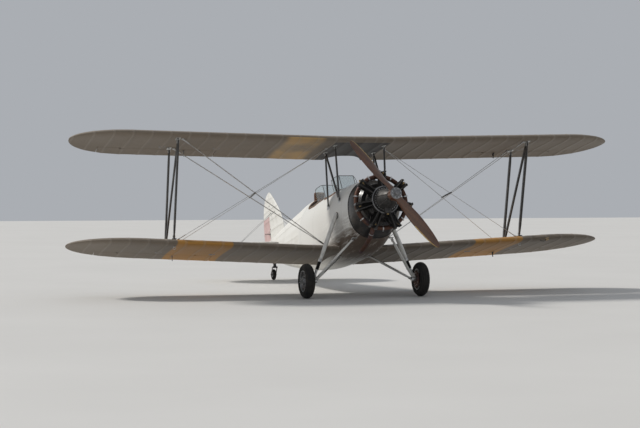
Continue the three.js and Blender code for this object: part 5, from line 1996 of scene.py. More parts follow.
class BIPLANE_OT_gear(bpy.types.Operator):
    """Main gear legs and struts, axles, brake plates, tyres and wheels"""

    bl_idname = "biplane.gear"
    bl_label = "Landing gear"

    def execute(self, context):
        self.front_struts()
        self.rear_struts()
        self.leg()
        self.tyres()
        self.wheels()
        return {"FINISHED"}

    def front_struts(self):
        """Front struts with the axles, their nuts and the brake plates."""
        inner, outer = (WHEEL_CENTRE.x + side * (HUB_HALF_WIDTH + CLEAR) for side in (-1, 1))
        form = Form()
        add_strut(form, FRONT_STRUT_TOP, on_axle(BRACKET), *GEAR_STRUT)
        root, end = BRACKET - 0.040, outer + 0.014
        axle = [(0, root), (0.034, root), (0.036, root + 0.006), (0.036, inner - 0.012), (0.034, inner),
                (AXLE_RADIUS, inner), (AXLE_RADIUS, outer), (AXLE_RADIUS, end), (0, end)]
        nut = [(0, outer), (0.0295, outer), (0.0295, end - 0.002), (0.026, end), (0, end)]
        plate = [(0, 0.8610), (0.118, 0.8610), (0.130, 0.8640), (0.132, 0.8672), (0.124, 0.8676),
                 (0, 0.8676)]
        for profile, sides, finish in ((axle, 32, 1), (nut, 6, 1), (plate, 48, 2)):
            form.add(lathe(profile, on_axle(0), PORT, sides), finish)
        form.add(block((0.070, 0.080, 0.012), (0.300, -1.250, -0.458), 0.004, 2), 1)
        pair("gear_front_struts_{}", form, [strut_white(), bright_steel(), heat_stained_steel()],
             ["gear_front_strut_{}"])
        bolts = [(on_axle(side * 0.8598) + off_axle(0.098, angle), (-side, 0, 0))
                 for angle in turns(10) for _, side in SIDES]
        nuts("brake_plate_bolts", bolts, 0.0055, 0.006)

    def rear_struts(self):
        """Rear struts with their plates on the fuselage, and the brake hoses along them."""
        form = Form()
        add_strut(form, REAR_STRUT_TOP, on_axle(BRACKET - 0.024), *GEAR_STRUT)
        form.add(block((0.070, 0.090, 0.012), (0.222, -0.304, -0.592), 0.004, 2), 1)
        path = curved([(0.262, -0.395, -0.604), (0.420, -0.520, -0.735), (0.640, -0.640, -0.905),
                       (0.785, -0.700, -1.000), (0.852, -0.690, -0.985)], 8)
        form.add(tube(path, 0.0042, 8), 2)
        pair("gear_rear_struts_{}", form, [strut_white(), bright_steel(), rubber()],
             ["gear_rear_strut_{}"])

    def leg(self):
        """Faired upper leg, sleeve, bellows and slider, the fork at its foot and the links behind."""
        along = (LEG_FOOT - LEG_TOP).normalized()
        mid, low = LEG_TOP.lerp(LEG_FOOT, 0.700), LEG_FOOT - along * 0.010
        bellows = [(0.050 + 0.0045 * k, 0.028 if k % 2 else 0.0235) for k in range(29)]
        form = Form(strut(LEG_TOP, mid, 0.062, 0.118, 34, 0.72))
        form.add(turned(mid, along, ((-0.020, 0.028), (0.006, 0.028), (0.010, 0.031), (0.045, 0.031),
                                     (0.050, 0.026)), 26), 1)
        form.add(turned(mid, along, bellows, 24), 2)
        form.add(tube([mid + along * bellows[-1][0], low], 0.0185, 24), 1)
        form.add(turned(low, along, ((-0.052, 0.025), (-0.046, 0.029), (0.004, 0.029), (0.010, 0.024)), 26))
        fork = end_frame(LEG_FOOT, -along)
        for side in (-1, 1):
            form.add(moved(block((0.007, 0.044, 0.060), (side * 0.020, 0, 0.014), 0.003), fork), 1)
        form.add(moved(pin(0.032, 0.004, 0.008, 12), fork), 1)
        knee = LEG_TOP.lerp(LEG_FOOT, 0.86) + Vector((-0.012, 0.075, 0.0))
        for end in (mid + along * 0.030, low - along * 0.030):
            form.add(tube([end, knee], 0.0085, 10), 1)
        form.add(tube([knee - PORT * 0.020, knee + PORT * 0.020], 0.011, 14), 1)
        pair("oleo_legs_{}", form, [strut_white(), bright_steel(), rubber()], ["oleo_leg_{}"])
        ring = [hull_side(LEG_TOP.y + 0.075 * math.cos(angle), -0.020 + 0.050 * math.sin(angle), 0.002)
                for angle in turns(48, more=1)]
        pair("leg_collars_{}", Form(tube(ring, 0.0055, 8, False)), [rubber()])

    def tyres(self):
        """Grooved tyres with two moulded lines on each wall."""
        rows = tyre_profile(WHEEL_RADIUS - TREAD, TREAD, TYRE_HALF, -BEAD_ANGLE, 180 + BEAD_ANGLE, 190,
                            GROOVES)
        form = Form(ring_of(rows, WHEEL_CENTRE, PORT, 112))
        for along, radius in ((0.0735, 0.192), (0.0744, 0.217)):
            for side in (-1, 1):
                line = [(radius - 0.0018, side * (along - 0.003)), (radius, side * (along + 0.0008)),
                        (radius + 0.0018, side * (along - 0.003))]
                form.add(ring_of(line, WHEEL_CENTRE, PORT, 112))
        pair("tyres_{}", form, [rubber()], ["tyre_{}"], "wheel_{}")

    def wheels(self):
        """Wheels with six holes, a hub cap, a valve and the bolts that hold their halves together."""
        half = [(0.046, 0.0700), (0.050, 0.0660), (0.053, 0.0560), (0.062, 0.0420), (0.070, 0.0375),
                (0.120, 0.0300), (0.134, 0.0280), (0.142, 0.0330), (0.147, 0.0520), (0.150, 0.0590),
                (0.156, 0.0620), (0.163, 0.0620), (RIM, 0.0580)]
        rows = [(WHEEL_BORE, -HUB_HALF_WIDTH), *((radius, -along) for radius, along in half), *half[::-1],
                (WHEEL_BORE, HUB_HALF_WIDTH)]
        wheel = Form(ring_of(rows, WHEEL_CENTRE, PORT, 72))
        cap = [(0.0460, 0.070), (0.0460, 0.078), (0.0420, 0.0835), (0.0335, 0.0860), (0.0335, 0.070)]
        wheel.add(ring_of(cap, WHEEL_CENTRE, PORT, 40), 1)
        wheel = wheel.cut(Form(*(plug(0.019, -0.1, 0.1, WHEEL_CENTRE + off_axle(0.098, angle), PORT, 24)
                                 for angle in turns(6, 0.5))))
        valve = WHEEL_CENTRE + Vector((0.050, 0.128, 0.0))
        wheel.add(tube([valve, valve + Vector((0.018, 0.004, 0)), valve + Vector((0.030, 0.004, 0))],
                       [0.0045, 0.0045, 0.0055], 10), 1)
        pair("wheels_{}", wheel, [wheel_metal(), bright_steel()], ["wheel_{}"], "wheel_{}")
        circles = ((1, 0.0315, 0.122), (-1, 0.0315, 0.122), (1, 0.0620, 0.0575))
        for hand, side in SIDES:
            bolts = [(on_axle(side * WHEEL_CENTRE.x) + off_axle(radius, angle, face * along * side),
                      (face * side, 0, 0)) for angle in turns(8) for face, along, radius in circles]
            nuts(f"wheel_bolts_{hand}", bolts, 0.0055, 0.010, f"wheel_{hand}")


# Tail wheel
FORK_LEG = 0.043
TAIL_AXLE = Vector((0, TAIL_WHEEL_AFT, TAIL_WHEEL_UP))
TAIL_WHEEL_BORE = 0.0124


class BIPLANE_OT_tail_wheel(bpy.types.Operator):
    """Swivelling tail wheel fork and its solid-tyred wheel"""

    bl_idname = "biplane.tail_wheel"
    bl_label = "Tail wheel"

    def execute(self, context):
        self.fork()
        self.wheel()
        return {"FINISHED"}

    def fork(self):
        """Crown, two legs, and the axle with its bosses and nuts."""
        crown = [(0, CROWN - 0.026), (0.026, CROWN - 0.026), (0.030, CROWN - 0.022), (0.030, CROWN - 0.003),
                 (0.027, CROWN), (0, CROWN)]
        form = Form(lathe(crown, (0, SWIVEL_AFT, 0), UP, 36))
        bridge = (0, SWIVEL_AFT + 0.010, CROWN - 0.014)
        form.add(block((2 * FORK_LEG + 0.012, 0.070, 0.022), bridge, 0.008, 3))
        boss = [(0, 0.036), (0.021, 0.036), (0.022, 0.040), (0.022, 0.047), (0.019, 0.050), (0, 0.050)]
        nut = [(0, 0.050), (0.011, 0.050), (0.011, 0.057), (0.009, 0.059), (0, 0.059)]
        for side in (-1, 1):
            top = Vector((side * FORK_LEG, SWIVEL_AFT + 0.010, CROWN - 0.012))
            foot = TAIL_AXLE + Vector((side * FORK_LEG, 0, 0))
            rings = []
            for spot, deep in ((0, 0.030), (0.2, 0.026), (0.5, 0.021), (0.8, 0.019), (1, 0.021)):
                centre = top.lerp(foot, spot)
                rings.append([centre + Vector((0.006 * math.cos(angle), deep * math.sin(angle) * 0.95,
                                               deep * math.sin(angle) * 0.3)) for angle in turns(16)])
            form.add(loft(rings))
            form.add(lathe(boss, TAIL_AXLE, (side, 0, 0), 28))
            form.add(lathe(nut, TAIL_AXLE, (side, 0, 0), 6), 1)
        form.add(tube([TAIL_AXLE - PORT * 0.050, TAIL_AXLE + PORT * 0.050], 0.0118, 20), 1)
        piece("tail_wheel_forks", form, [strut_black(), bright_steel()], ["tail_wheel_fork"],
              "tail_wheel_fork")

    def wheel(self):
        """A solid tyre on a waisted hub."""
        rows = tyre_profile(0.070, 0.030, 0.031, -30, 210, 40)
        form = Form(ring_of(rows + [(0.050, -0.0240), (0.050, 0.0240)], TAIL_AXLE, PORT, 64))
        half = [(0.0505, 0.0235), (0.044, 0.017), (0.034, 0.014), (0.024, 0.022), (0.022, 0.028),
                (TAIL_WHEEL_BORE, 0.028)]
        form.add(ring_of([(radius, -along) for radius, along in half[::-1]] + half, TAIL_AXLE, PORT, 48), 1)
        piece("tail_wheel_tyre", form, [rubber(), wheel_metal()], ["tail_wheel"], "tail_wheel")


# Cockpits
SCREEN_PLAN = ((-0.215, 0.150), (-0.120, 0.0), (0.120, 0.0), (0.215, 0.150))
SCREEN_AHEAD = 0.085
SCREEN_SUNK = 0.090
SCREEN_RISE = 0.330
SCREEN_LEAN = math.tan(math.radians(28))
DASH_AHEAD = 0.024
DASH_LOW = 0.205
DASH_HIGH = 0.495
SEAT_PAN = -0.300
SEAT_BACK = 0.430
SEAT_SIDES = 0.130
SEAT_HALF = 0.196
SEAT_DEPTH = 0.380
SEAT_CORNER = 0.075
FROM_EDGE = 0.110
CUSHION = (0.348, 0.342, 0.070)
HEADREST = (0.190, 0.066, 0.170)
CLOTH_FRAMES = 20
CLOTH_PRESSURE = 4
CHANNELS = (-0.087, 0, 0.087)
CHANNEL_HALF = 0.022
CHANNEL_DEPTH = 0.007
STRAP = (0.042, 0.0026)
# Straps: distance from the seat's middle, behind its back and over its pan
SHOULDER = ((0.060, 0.022, 0.300), (0.064, 0.020, 0.410), (0.066, 0.002, 0.440), (0.070, -0.020, 0.400),
            (0.084, -0.026, 0.180), (0.086, -0.060, 0.096), (0.070, -0.150, 0.086), (0.040, -0.215, 0.088))
LAP = ((0.184, -0.090, 0.020), (0.176, -0.104, 0.075), (0.140, -0.150, 0.091), (0.030, -0.235, 0.088))
# Each dial: x, height, radius
DIALS = ((-0.095, 0.415, 0.036), (0.0, 0.430, 0.040), (0.095, 0.415, 0.036), (-0.195, 0.345, 0.036),
         (-0.098, 0.325, 0.034), (0.0, 0.335, 0.040), (0.098, 0.325, 0.034), (0.195, 0.345, 0.036))


def floor_height(aft):
    return section(aft)[2] + 0.061


def puffed(size, place, swell, channels=(), voxel=0.006):
    """A stuffed pad: a rounded box that the cloth solver blows up, then pressed in along its channels."""
    points, faces = block([s - swell for s in size], ZERO, min(size) * 0.36, 5)
    mesh = bpy.data.meshes.new("pad")
    mesh.from_pydata(points, [], faces)
    pad = object_of("pad", mesh)
    remesh = pad.modifiers.new("remesh", "REMESH")
    remesh.mode = "VOXEL"
    remesh.voxel_size = voxel
    dense = baked(pad)
    pad.modifiers.clear()
    pad.data = dense
    cloth = pad.modifiers.new("cloth", "CLOTH")
    cloth.settings.use_pressure = True
    cloth.settings.uniform_pressure_force = CLOTH_PRESSURE
    cloth.settings.effector_weights.gravity = 0
    cloth.point_cache.frame_end = CLOTH_FRAMES
    for number in range(1, CLOTH_FRAMES + 1):
        bpy.context.scene.frame_set(number)
    blown = baked(pad)
    pad.modifiers.clear()
    bpy.context.scene.frame_set(1)
    for vertex, start in zip(blown.vertices, dense.vertices):
        move = vertex.co - start.co
        vertex.co = start.co + move * min(1, swell / max(move.length, 1e-9))
    pad.data = blown
    for vertex in pad.data.vertices:
        for line in channels:
            near = abs(vertex.co.x - line)
            if near < CHANNEL_HALF:
                dip = 0.5 + 0.5 * math.cos(near / CHANNEL_HALF * math.pi)
                flat = min(1, abs(vertex.co.z) / 0.02)
                vertex.co.z -= math.copysign(CHANNEL_DEPTH * dip, vertex.co.z) * flat
    shape = shape_of(pad.data)
    bpy.data.objects.remove(pad)
    return moved(shape, place)


def stuffed(name, shape, node):
    """A simulated pad as a leather piece, subdivided once."""
    pad = piece(name, Form(shape), [brown_leather()], [node], smooth=60)
    smooth = pad.modifiers.new("smooth", "SUBSURF")
    smooth.levels = smooth.render_levels = 1


class BIPLANE_OT_cockpits(bpy.types.Operator):
    """Windscreens, coaming rolls, dashboards with dials, seats, cushions, harness, sticks and the headrest"""

    bl_idname = "biplane.cockpits"
    bl_label = "Cockpits"

    def execute(self, context):
        for name, low, high in COCKPITS:
            self.windscreen(name, low)
            self.coaming(name, low, high)
            self.dashboard(name, low - DASH_AHEAD)
            self.seat(name, high - FROM_EDGE)
            self.cushion(name, high - FROM_EDGE)
            self.harness(name, high - FROM_EDGE)
            self.controls(name, low, high - FROM_EDGE)
        self.headrest()
        self.floor()
        self.frames()
        return {"FINISHED"}

    def pane_edge(self, low, near, far):
        """One pane's outline: its foot follows the fuselage's skin and its top falls away outwards."""
        (x0, y0), (x1, y1) = near, far
        start, base = low - SCREEN_AHEAD, crown_height(0, low) - SCREEN_SUNK

        def spot(u, z):
            return Vector((x0 + (x1 - x0) * u, start + y0 + (y1 - y0) * u + (z - base) * SCREEN_LEAN, z))

        def foot(u):
            z = base + SCREEN_SUNK
            for _ in range(5):
                z = crown_height(*spot(u, z).xy) + 0.003
            return spot(u, z)

        def top(u):
            outward = max(0, abs(spot(u, base).x) - 0.120) / 0.095
            return spot(u, base + SCREEN_RISE - 0.060 * outward ** 2)

        return [foot(u) for u in steps(0, 1, 12)] + [top(u) for u in steps(1, 0, 12)]

    def windscreen(self, name, low):
        """Three clear panes in a frame of thin tube."""
        panes, frames = Form(), Form()
        for near, far in zip(SCREEN_PLAN, SCREEN_PLAN[1:]):
            edge = self.pane_edge(low, near, far)
            normal = (edge[12] - edge[0]).cross(edge[-1] - edge[0]).normalized() * 0.0015
            panes.add(loft([[p + normal for p in edge], [p - normal for p in edge]]))
            frames.add(tube(evenly(edge + edge[:1], 0.012), 0.0052, 8))
        piece(f"windscreen_panes_{name}", panes, [clear_pane()], [f"windscreen_{name}"])
        piece(f"windscreen_frame_{name}", frames, [strut_black()])

    def coaming(self, name, low, high):
        """A leather roll round the opening's edge, puckered by its lacing."""
        outline = [(x, y, crown_height(x, y) + 0.001) for x, y in cockpit_outline(low, high, 24)]
        path = evenly(outline + outline[:1], 0.0065)
        radii = [0.0165 + 0.0014 * abs(math.sin(math.pi * k / 4)) for k in range(len(path))]
        roll = piece(f"coaming_{name}", Form(tube(path, radii, 18)), [brown_leather()])
        mesh = lacing_tree().run(path_mesh([path]), Pitch=0.026, Reach=0.0182, Radius=0.0014, Up=AXES @ UP,
                                 Material=webbing())
        settle(f"coaming_lacing_{name}", mesh)

    def dashboard(self, name, aft):
        """A board across the cabin with rims for its dials, a row of knobs and screws."""
        _, _, _, waist, crown, _, above = section(aft)
        low = math.asin(((DASH_LOW - waist) / (crown - waist - SKIN)) ** (above / 2))
        outline = [hull_point(aft, angle, -SKIN - 2 * CLEAR) for angle in steps(low, math.pi - low, 48)]
        form = Form(loft([[p + AFT * y for p in outline] for y in (-0.008, 0.008)]))
        face, screws = aft + 0.0083, []
        for x, z, radius in DIALS:
            rim = [(radius - 0.005, -0.001), (radius + 0.002, -0.001), (radius + 0.001, 0.006),
                   (radius - 0.001, 0.009), (radius - 0.004, 0.009), (radius - 0.006, 0.005)]
            form.add(ring_of(rim, (x, face, z), AFT), 1)
            out = radius * 1.05
            screws += [((x + out * math.cos(angle), face, z + out * math.sin(angle)), AFT)
                       for angle in turns(4, 0.5)]
        knob = [(0, 0), (0.008, 0), (0.008, 0.003), (0.003, 0.004), (0.0035, 0.018), (0.005, 0.022),
                (0, 0.024)]
        for x in steps(-0.150, 0.150, 5):
            form.add(lathe(knob, (x, face, 0.240), AFT, 16), 2)
        screws += [(((half_width(aft, z, SKIN) - 0.020) * share, face, z), AFT)
                   for share in steps(-1, 1, 11) for z in (DASH_LOW + 0.012, DASH_HIGH - 0.045)]
        piece(f"dashboard_{name}", form, [nose_black(), cast_metal(), brass()],
              [f"instrument_panel_{name}"])
        rivets(f"dashboard_screws_{name}", screws, 0.0030, 0.0018, bright_steel())
        self.dials(name, face + 0.003)

    def dials(self, name, face):
        """Dial faces as fans of triangles; their map gives the share of a turn and of the radius."""
        fans, count = bmesh.new(), 36
        layer = fans.loops.layers.uv.new("dial")
        for x, z, radius in DIALS:
            centre = fans.verts.new((x, face, z))
            rim = [fans.verts.new((x + radius * math.sin(angle), face, z + radius * math.cos(angle)))
                   for angle in turns(count)]
            for k in range(count):
                fan = fans.faces.new((centre, rim[k], rim[(k + 1) % count]))
                for loop, turn, reach in zip(fan.loops, (k + 0.5, k, k + 1), (0, 1, 1)):
                    loop[layer].uv = (turn / count, reach)
        mesh = bpy.data.meshes.new("dials")
        fans.to_mesh(mesh)
        fans.free()
        mesh.transform(PARKED)
        settle(f"dials_{name}", mesh, [dial_face()])

    def seat(self, name, back):
        """A bucket seat with lightening holes in its back, on a stand of tubes."""
        front, corner = back - SEAT_DEPTH, SEAT_CORNER
        plan = [Vector((-SEAT_HALF, y, 0)) for y in steps(front, back - corner, 10)[:-1]]
        plan += [Vector((-SEAT_HALF + corner + corner * math.cos(angle),
                         back - corner + corner * math.sin(angle), 0))
                 for angle in steps(math.pi, math.pi / 2, 12)]
        plan += [Vector((x, back, 0)) for x in steps(-SEAT_HALF + corner, 0, 6)[1:]]
        plan += [Vector((-p.x, p.y, 0)) for p in plan[-2::-1]]
        rings, rim = [], []
        for i, spot in enumerate(plan):
            along = heading(plan, i)
            inward = Vector((along.y, -along.x, 0)) * 0.003
            rise = within((spot.y - (back - 0.150)) / 0.130)
            drop = within((spot.y - front) / 0.080)
            height = (SEAT_SIDES * (0.45 + 0.55 * drop)
                      + (SEAT_BACK - SEAT_SIDES) * rise * rise * (3 - 2 * rise))
            low, high = spot + UP * SEAT_PAN, spot + UP * (SEAT_PAN + height)
            rings.append([low - inward, low + inward, high + inward, high - inward])
            rim.append(high)
        holes = Form(*(plug(0.020, -0.03, 0.03, (x, back, SEAT_PAN + rise), AFT, 20)
                       for x in (-0.080, 0, 0.080) for rise in (0.280, 0.355)))
        form = Form(loft(rings)).cut(holes).add(tube(rim, 0.0075, 10))
        form.add(block((2 * SEAT_HALF - 0.008, SEAT_DEPTH - 0.006, 0.010), (0, (front + back) / 2, SEAT_PAN)))
        floor = floor_height(back - 0.2)
        for x in (-0.140, 0.140):
            legs = front + 0.030, back - 0.030
            for aft in legs:
                form.add(tube([(x, aft, SEAT_PAN - 0.005), (x, aft, floor)], 0.011, 12), 1)
            form.add(tube([(x, legs[0], SEAT_PAN - 0.02), (x, legs[1], floor + 0.03)], 0.008, 10), 1)
        piece(f"bucket_seat_{name}", form, [wheel_metal(), strut_black()], [f"seat_{name}"])

    def cushion(self, name, back):
        """A channelled cushion with piping round its edge."""
        middle = Vector((0, back - SEAT_DEPTH / 2 - 0.006, SEAT_PAN + 0.042))
        shape = puffed(CUSHION, Matrix.Translation(middle), 0.007, CHANNELS)
        stuffed(f"cushion_{name}", shape, f"seat_cushion_{name}")
        half_x, half_y = (size / 2 - 0.004 for size in CUSHION[:2])
        edge = [middle + Vector((x, y, 0)) for x, y in squared(turns(96, more=1), half_x, half_y, 0.28)]
        piece(f"cushion_piping_{name}", Form(tube(edge, 0.0042, 8, False)), [brown_leather()])

    def harness(self, name, back):
        """Shoulder and lap straps with their buckles."""
        straps, buckles = Form(), Form()
        for side in (-1, 1):
            shoulder, lap = (curved([(side * x, back + y, SEAT_PAN + z) for x, y, z in row], 7)
                             for row in (SHOULDER, LAP))
            straps.add(ribbon(shoulder, *STRAP, PORT)).add(ribbon(lap, *STRAP, AFT))
            frame = [shoulder[-1] + Vector((x, y, 0.002)) for x, y in
                     ((-0.026, -0.016), (0.026, -0.016), (0.026, 0.016), (-0.026, 0.016), (-0.026, -0.016))]
            buckles.add(tube(evenly(frame, 0.006), 0.0028, 8, False))
        buckles.add(lathe([(0, 0), (0.027, 0), (0.029, 0.003), (0.026, 0.010), (0.010, 0.013), (0, 0.013)],
                          (0, back - 0.238, SEAT_PAN + 0.086)))
        piece(f"harness_{name}", straps, [webbing()])
        piece(f"harness_buckles_{name}", buckles, [bright_steel()])

    def controls(self, name, low, back):
        """Stick, rudder bar and throttle lever."""
        floor = floor_height(low + 0.1)
        foot = Vector((0, back - SEAT_DEPTH - 0.090, floor))
        stick = curved([foot, foot + Vector((0, -0.010, 0.160)), foot + Vector((0, 0.004, 0.330)),
                        foot + Vector((0, 0.040, 0.470))], 8)
        top = stick[-1]
        form = Form(tube(stick, 0.0125, 14))
        form.add(tube([top - Vector((0, 0.012, 0.040)), top, top + Vector((0, 0.030, 0.085)),
                       top + Vector((0, 0.034, 0.096))], [0.0165, 0.019, 0.018, 0.010], 18), 1)
        boot = [(0, 0), (0.055, 0), (0.055, 0.004), (0.030, 0.030), (0.016, 0.036), (0, 0.036)]
        form.add(lathe(boot, foot), 1)
        bar = low - 0.020
        form.add(tube([(-0.190, bar, floor + 0.120), (0.190, bar, floor + 0.120)], 0.012, 14))
        for x in (-0.145, 0.145):
            form.add(block((0.080, 0.012, 0.110), (x, bar + 0.012, floor + 0.135), 0.005, 2), 1)
        wall = half_width(low + 0.18, 0.22, SKIN) - 0.012
        form.add(block((0.020, 0.130, 0.060), (wall, low + 0.180, 0.220), 0.006, 2), 1)
        lever = Vector((wall - 0.012, low + 0.170, 0.235))
        form.add(tube([lever, lever + Vector((-0.008, -0.030, 0.085))], 0.0045, 10))
        form.add(lathe([(0, -0.012), (0.009, -0.011), (0.013, 0), (0.009, 0.011), (0, 0.012)],
                       lever + Vector((-0.008, -0.030, 0.090)), UP, 20), 1)
        piece(f"controls_{name}", form, [bright_steel(), strut_black()])

    def headrest(self):
        """A stuffed pad behind the rear cockpit, with brass buttons round its face."""
        place = posed((0, 1.298, 0.709), math.radians(8), "X")
        stuffed("headrest_pad", puffed(HEADREST, place, 0.006), "headrest")
        buttons = [(place @ Vector((math.cos(angle) * 0.070, -0.0335, math.sin(angle) * 0.060)), (0, -1, 0))
                   for angle in turns(16)]
        rivets("headrest_buttons", buttons, 0.0035, 0.0025, brass())

    def floor(self):
        """Varnished boards along the cabin's floor."""
        form = Form()
        for board in range(-2, 3):
            rings = []
            for aft in steps(-1.230, 1.380, 26):
                high = floor_height(aft)
                half = half_width(aft, high, SKIN) / 5
                left, right = (2 * board - 1) * half + 0.002, (2 * board + 1) * half - 0.002
                rings.append([Vector((x, aft, z)) for x, z in ((left, high - 0.012), (right, high - 0.012),
                                                               (right, high), (left, high))])
            form.add(loft(rings))
        piece("cockpit_floor", form, [laminated_wood()])

    def frames(self):
        """Welded tube frames and longerons along the cabin's walls, clear of the two openings."""
        def wall(aft, degrees):
            return hull_point(aft, math.radians(degrees), -SKIN - 0.010)

        form = Form()
        for aft in (-0.900, -0.560, -0.170, 0.095, 0.420, 0.700, 0.930, 1.180):
            form.add(tube([wall(aft, degrees) for degrees in range(-84, 41, 4)], 0.0095, 10))
        for degrees in (38, 4, -44):
            form.add(tube([wall(aft, degrees) for aft in steps(-1.200, 1.360, 40)], 0.0095, 10))
        for low, high in ((-0.560, -0.170), (0.095, 0.420), (0.420, 0.700), (0.930, 1.180)):
            form.add(tube([wall(low, -44), wall(high, 4)], 0.0075, 10))
        piece("cabin_frames", joined(form, form.mirrored()), [cabin_primer()])


# Details that follow the skins
STITCH_FROM = 0.040
STITCH_TO = 0.970
STITCH_LIFT = 0.0022
# Threads: pitch, radius, length
WING_THREAD = (0.075, 0.0016, 0.016)
TAIL_THREAD = (0.060, 0.0014, 0.014)
SEAM_THREAD = (0.045, 0.0012, 0.014)
SEAM_HALF = 0.014
SEAM_LIFT = 0.0013
WALK_OUT = (0.500, 0.725)
WALK_SHARE = (0.100, 0.920)
TANK_CAP_AFT = -0.950
INSPECTION_OUT = (2.180, 3.030)
INSPECTION_SHARE = 0.600
AIRSPEED_OUT = 3.240
STEP_AFT = 0.860
STEP_UP = -0.420


def horn(place, height):
    """A flat horn standing along z from a skin, with an eye at its end."""
    outline = ((-0.030, -0.004), (0.045, -0.004), (0.012, height * 0.7), (0.006, height), (-0.010, height),
               (-0.014, height * 0.7))
    eye = [(0.004, -0.005), (0.010, -0.005), (0.010, 0.005), (0.004, 0.005)]
    shapes = (loft([[(x, y, z) for y, z in outline] for x in (-0.0025, 0.0025)]),
              ring_of(eye, (0, -0.002, height - 0.004), PORT, 20),
              block((0.024, 0.078, 0.003), (0, 0.008, 0.0005), 0.001))
    return Form(*(moved(shape, place) for shape in shapes))


class BIPLANE_OT_details(bpy.types.Operator):
    """Rib stitching, seams, rivets, fillets, walkways, rings, horns, fuel cap, steps and airspeed head"""

    bl_idname = "biplane.details"
    bl_label = "Details"

    def execute(self, context):
        self.rib_stitching()
        self.tail_stitching()
        self.fuselage_seams()
        self.fuselage_rivets()
        self.wing_roots()
        self.inspection_rings()
        self.horns()
        self.fuel_cap()
        self.foot_steps()
        self.tie_down_rings()
        self.airspeed_head()
        return {"FINISHED"}

    def rib_stitching(self):
        """Raised threads through the cloth along every rib, on the wings and on each aileron's own body."""
        pitch = sizes().rib_pitch
        ribs = [RIB_FIRST + k * pitch for k in range(int((RIB_LAST - RIB_FIRST) / pitch) + 1)]
        for level, wing in LEVELS:
            fixed = []
            for hand, side in SIDES:
                moving = []
                for out in ribs:
                    ahead = AILERON_FROM - 0.02 < out < AILERON_TO + 0.02
                    through = AILERON_FROM + 0.03 < out < AILERON_TO - 0.03
                    rows = [(fixed, STITCH_FROM, 0.685 if ahead else STITCH_TO)]
                    rows += [(moving, 0.790, STITCH_TO)] if through else []
                    for upper in (True, False):
                        for paths, first, last in rows:
                            paths.append([wing.on_skin(side, out, share, upper, STITCH_LIFT)
                                          for share in steps(first, last, 24)])
                stitched(f"{level}_aileron_stitching_{hand}", moving, *WING_THREAD, webbing(), "wing_fabric",
                         f"{level}_aileron_{hand}")
            stitched(f"{level}_wing_stitching", fixed, *WING_THREAD, webbing(), "wing_fabric")

    def tail_stitching(self):
        """The same along the tail's ribs, ahead of each hinge on the airframe and behind it on what moves."""
        beside = [side * rib for rib in TAILPLANE_RIBS[1:] for side in (-1, 1)]
        for name, body, section_at, ribs, low, high in (
                ("tailplane", "airframe", tailplane_section, beside, 0, TAIL_HINGE - 0.045),
                ("elevator", "elevator", tailplane_section, beside, TAIL_HINGE + 0.035, 9),
                ("fin", "airframe", fin_section, FIN_RIBS[2:], 0, RUDDER_HINGE - 0.050),
                ("rudder", "rudder", fin_section, FIN_RIBS, RUDDER_HINGE + 0.040, 9)):
            paths = []
            for rib in ribs:
                ring = section_at(rib, 0.0016)
                for half in (ring[1:TAIL_STEPS], ring[TAIL_STEPS + 1:-1]):
                    paths.append([spot for spot in half if low < spot.y < high])
            stitched(name + "_stitching", [path for path in paths if len(path) > 1], *TAIL_THREAD, webbing(),
                     "white_fabric", body)

    def fuselage_seams(self):
        """Tapes sewn over eight of the rear fuselage's stringers."""
        form, paths = Form(), []
        for degrees in (0, 36, 90, 144, 180, 234, 270, 306):
            angle = math.radians(degrees)
            rings = []
            for aft in steps(SPLIT + 0.050, 4.120, 44):
                middle = hull_point(aft, angle, SEAM_LIFT)
                beside = (hull_point(aft, angle + 0.01, SEAM_LIFT) - middle).normalized() * SEAM_HALF
                deep = (hull_point(aft, angle, 0.02) - middle).normalized() * 2 * SEAM_LIFT
                rings.append([middle - beside - deep, middle + beside - deep, middle + beside,
                              middle - beside])
            form.add(loft(rings))
            paths.append([(ring[2] + ring[3]) / 2 for ring in rings])
        piece("fuselage_seam_tapes", form, [white_fabric()])
        stitched("fuselage_seam_stitching", paths, *SEAM_THREAD, webbing(), "white_fabric")

    def fuselage_rivets(self):
        """Rivets on both sides of the panels' joints, along four lines and round the nose."""
        spots = [(line + beside, angle, SECTIONS) for line in FUSELAGE_LINES for beside in (-0.014, 0.014)
                 for angle in turns(84, 0.5)]
        spots += [(aft, math.radians(degrees), SECTIONS) for degrees in (38, 142, -22, 202)
                  for aft in steps(-1.330, 1.480, 66)]
        for aft, count in ((-1.672, 44), (-1.372, 60), (-1.330, 72)):
            table = NOSE_SECTIONS if aft < FIREWALL else SECTIONS
            spots += [(aft, angle, table) for angle in turns(count, 0.5)]
        heads = []
        for aft, angle, table in spots:
            spot = hull_point(aft, angle, 0.0004, table)
            heads.append((spot, hull_point(aft, angle, 0.0104, table) - spot))
        size = sizes().rivet
        rivets("fuselage_rivets", heads, size, size * 0.45, white_panels())

    def wing_roots(self):
        """Fillets round the lower wing roots and black walkways beside them."""
        fillet = []
        for i in range(-CHORD_STEPS + 1, CHORD_STEPS):
            out = 0.400
            for _ in range(5):
                spot = LOWER.on_skin(1, out, chord_share(i, CHORD_STEPS), i >= 0, 0.002)
                out = hull_side(spot.y, max(spot.z, section(spot.y)[2] + 0.002)).x
            fillet.append(Vector((max(out, LOWER.root) + 0.002, spot.y, spot.z)))
        pair("wing_root_fillets_{}", Form(tube(evenly(fillet, 0.012), 0.0085, 10)), [white_panels()])
        rings = []
        for share in steps(*WALK_SHARE, 30):
            top, low = ([LOWER.on_skin(1, out, share, True, lift) for out in steps(*WALK_OUT, 6)]
                        for lift in (0.0021, 0.0004))
            rings.append(top + low[::-1])
        pair("wing_walks_{}", Form(loft(rings)), [rubber()])

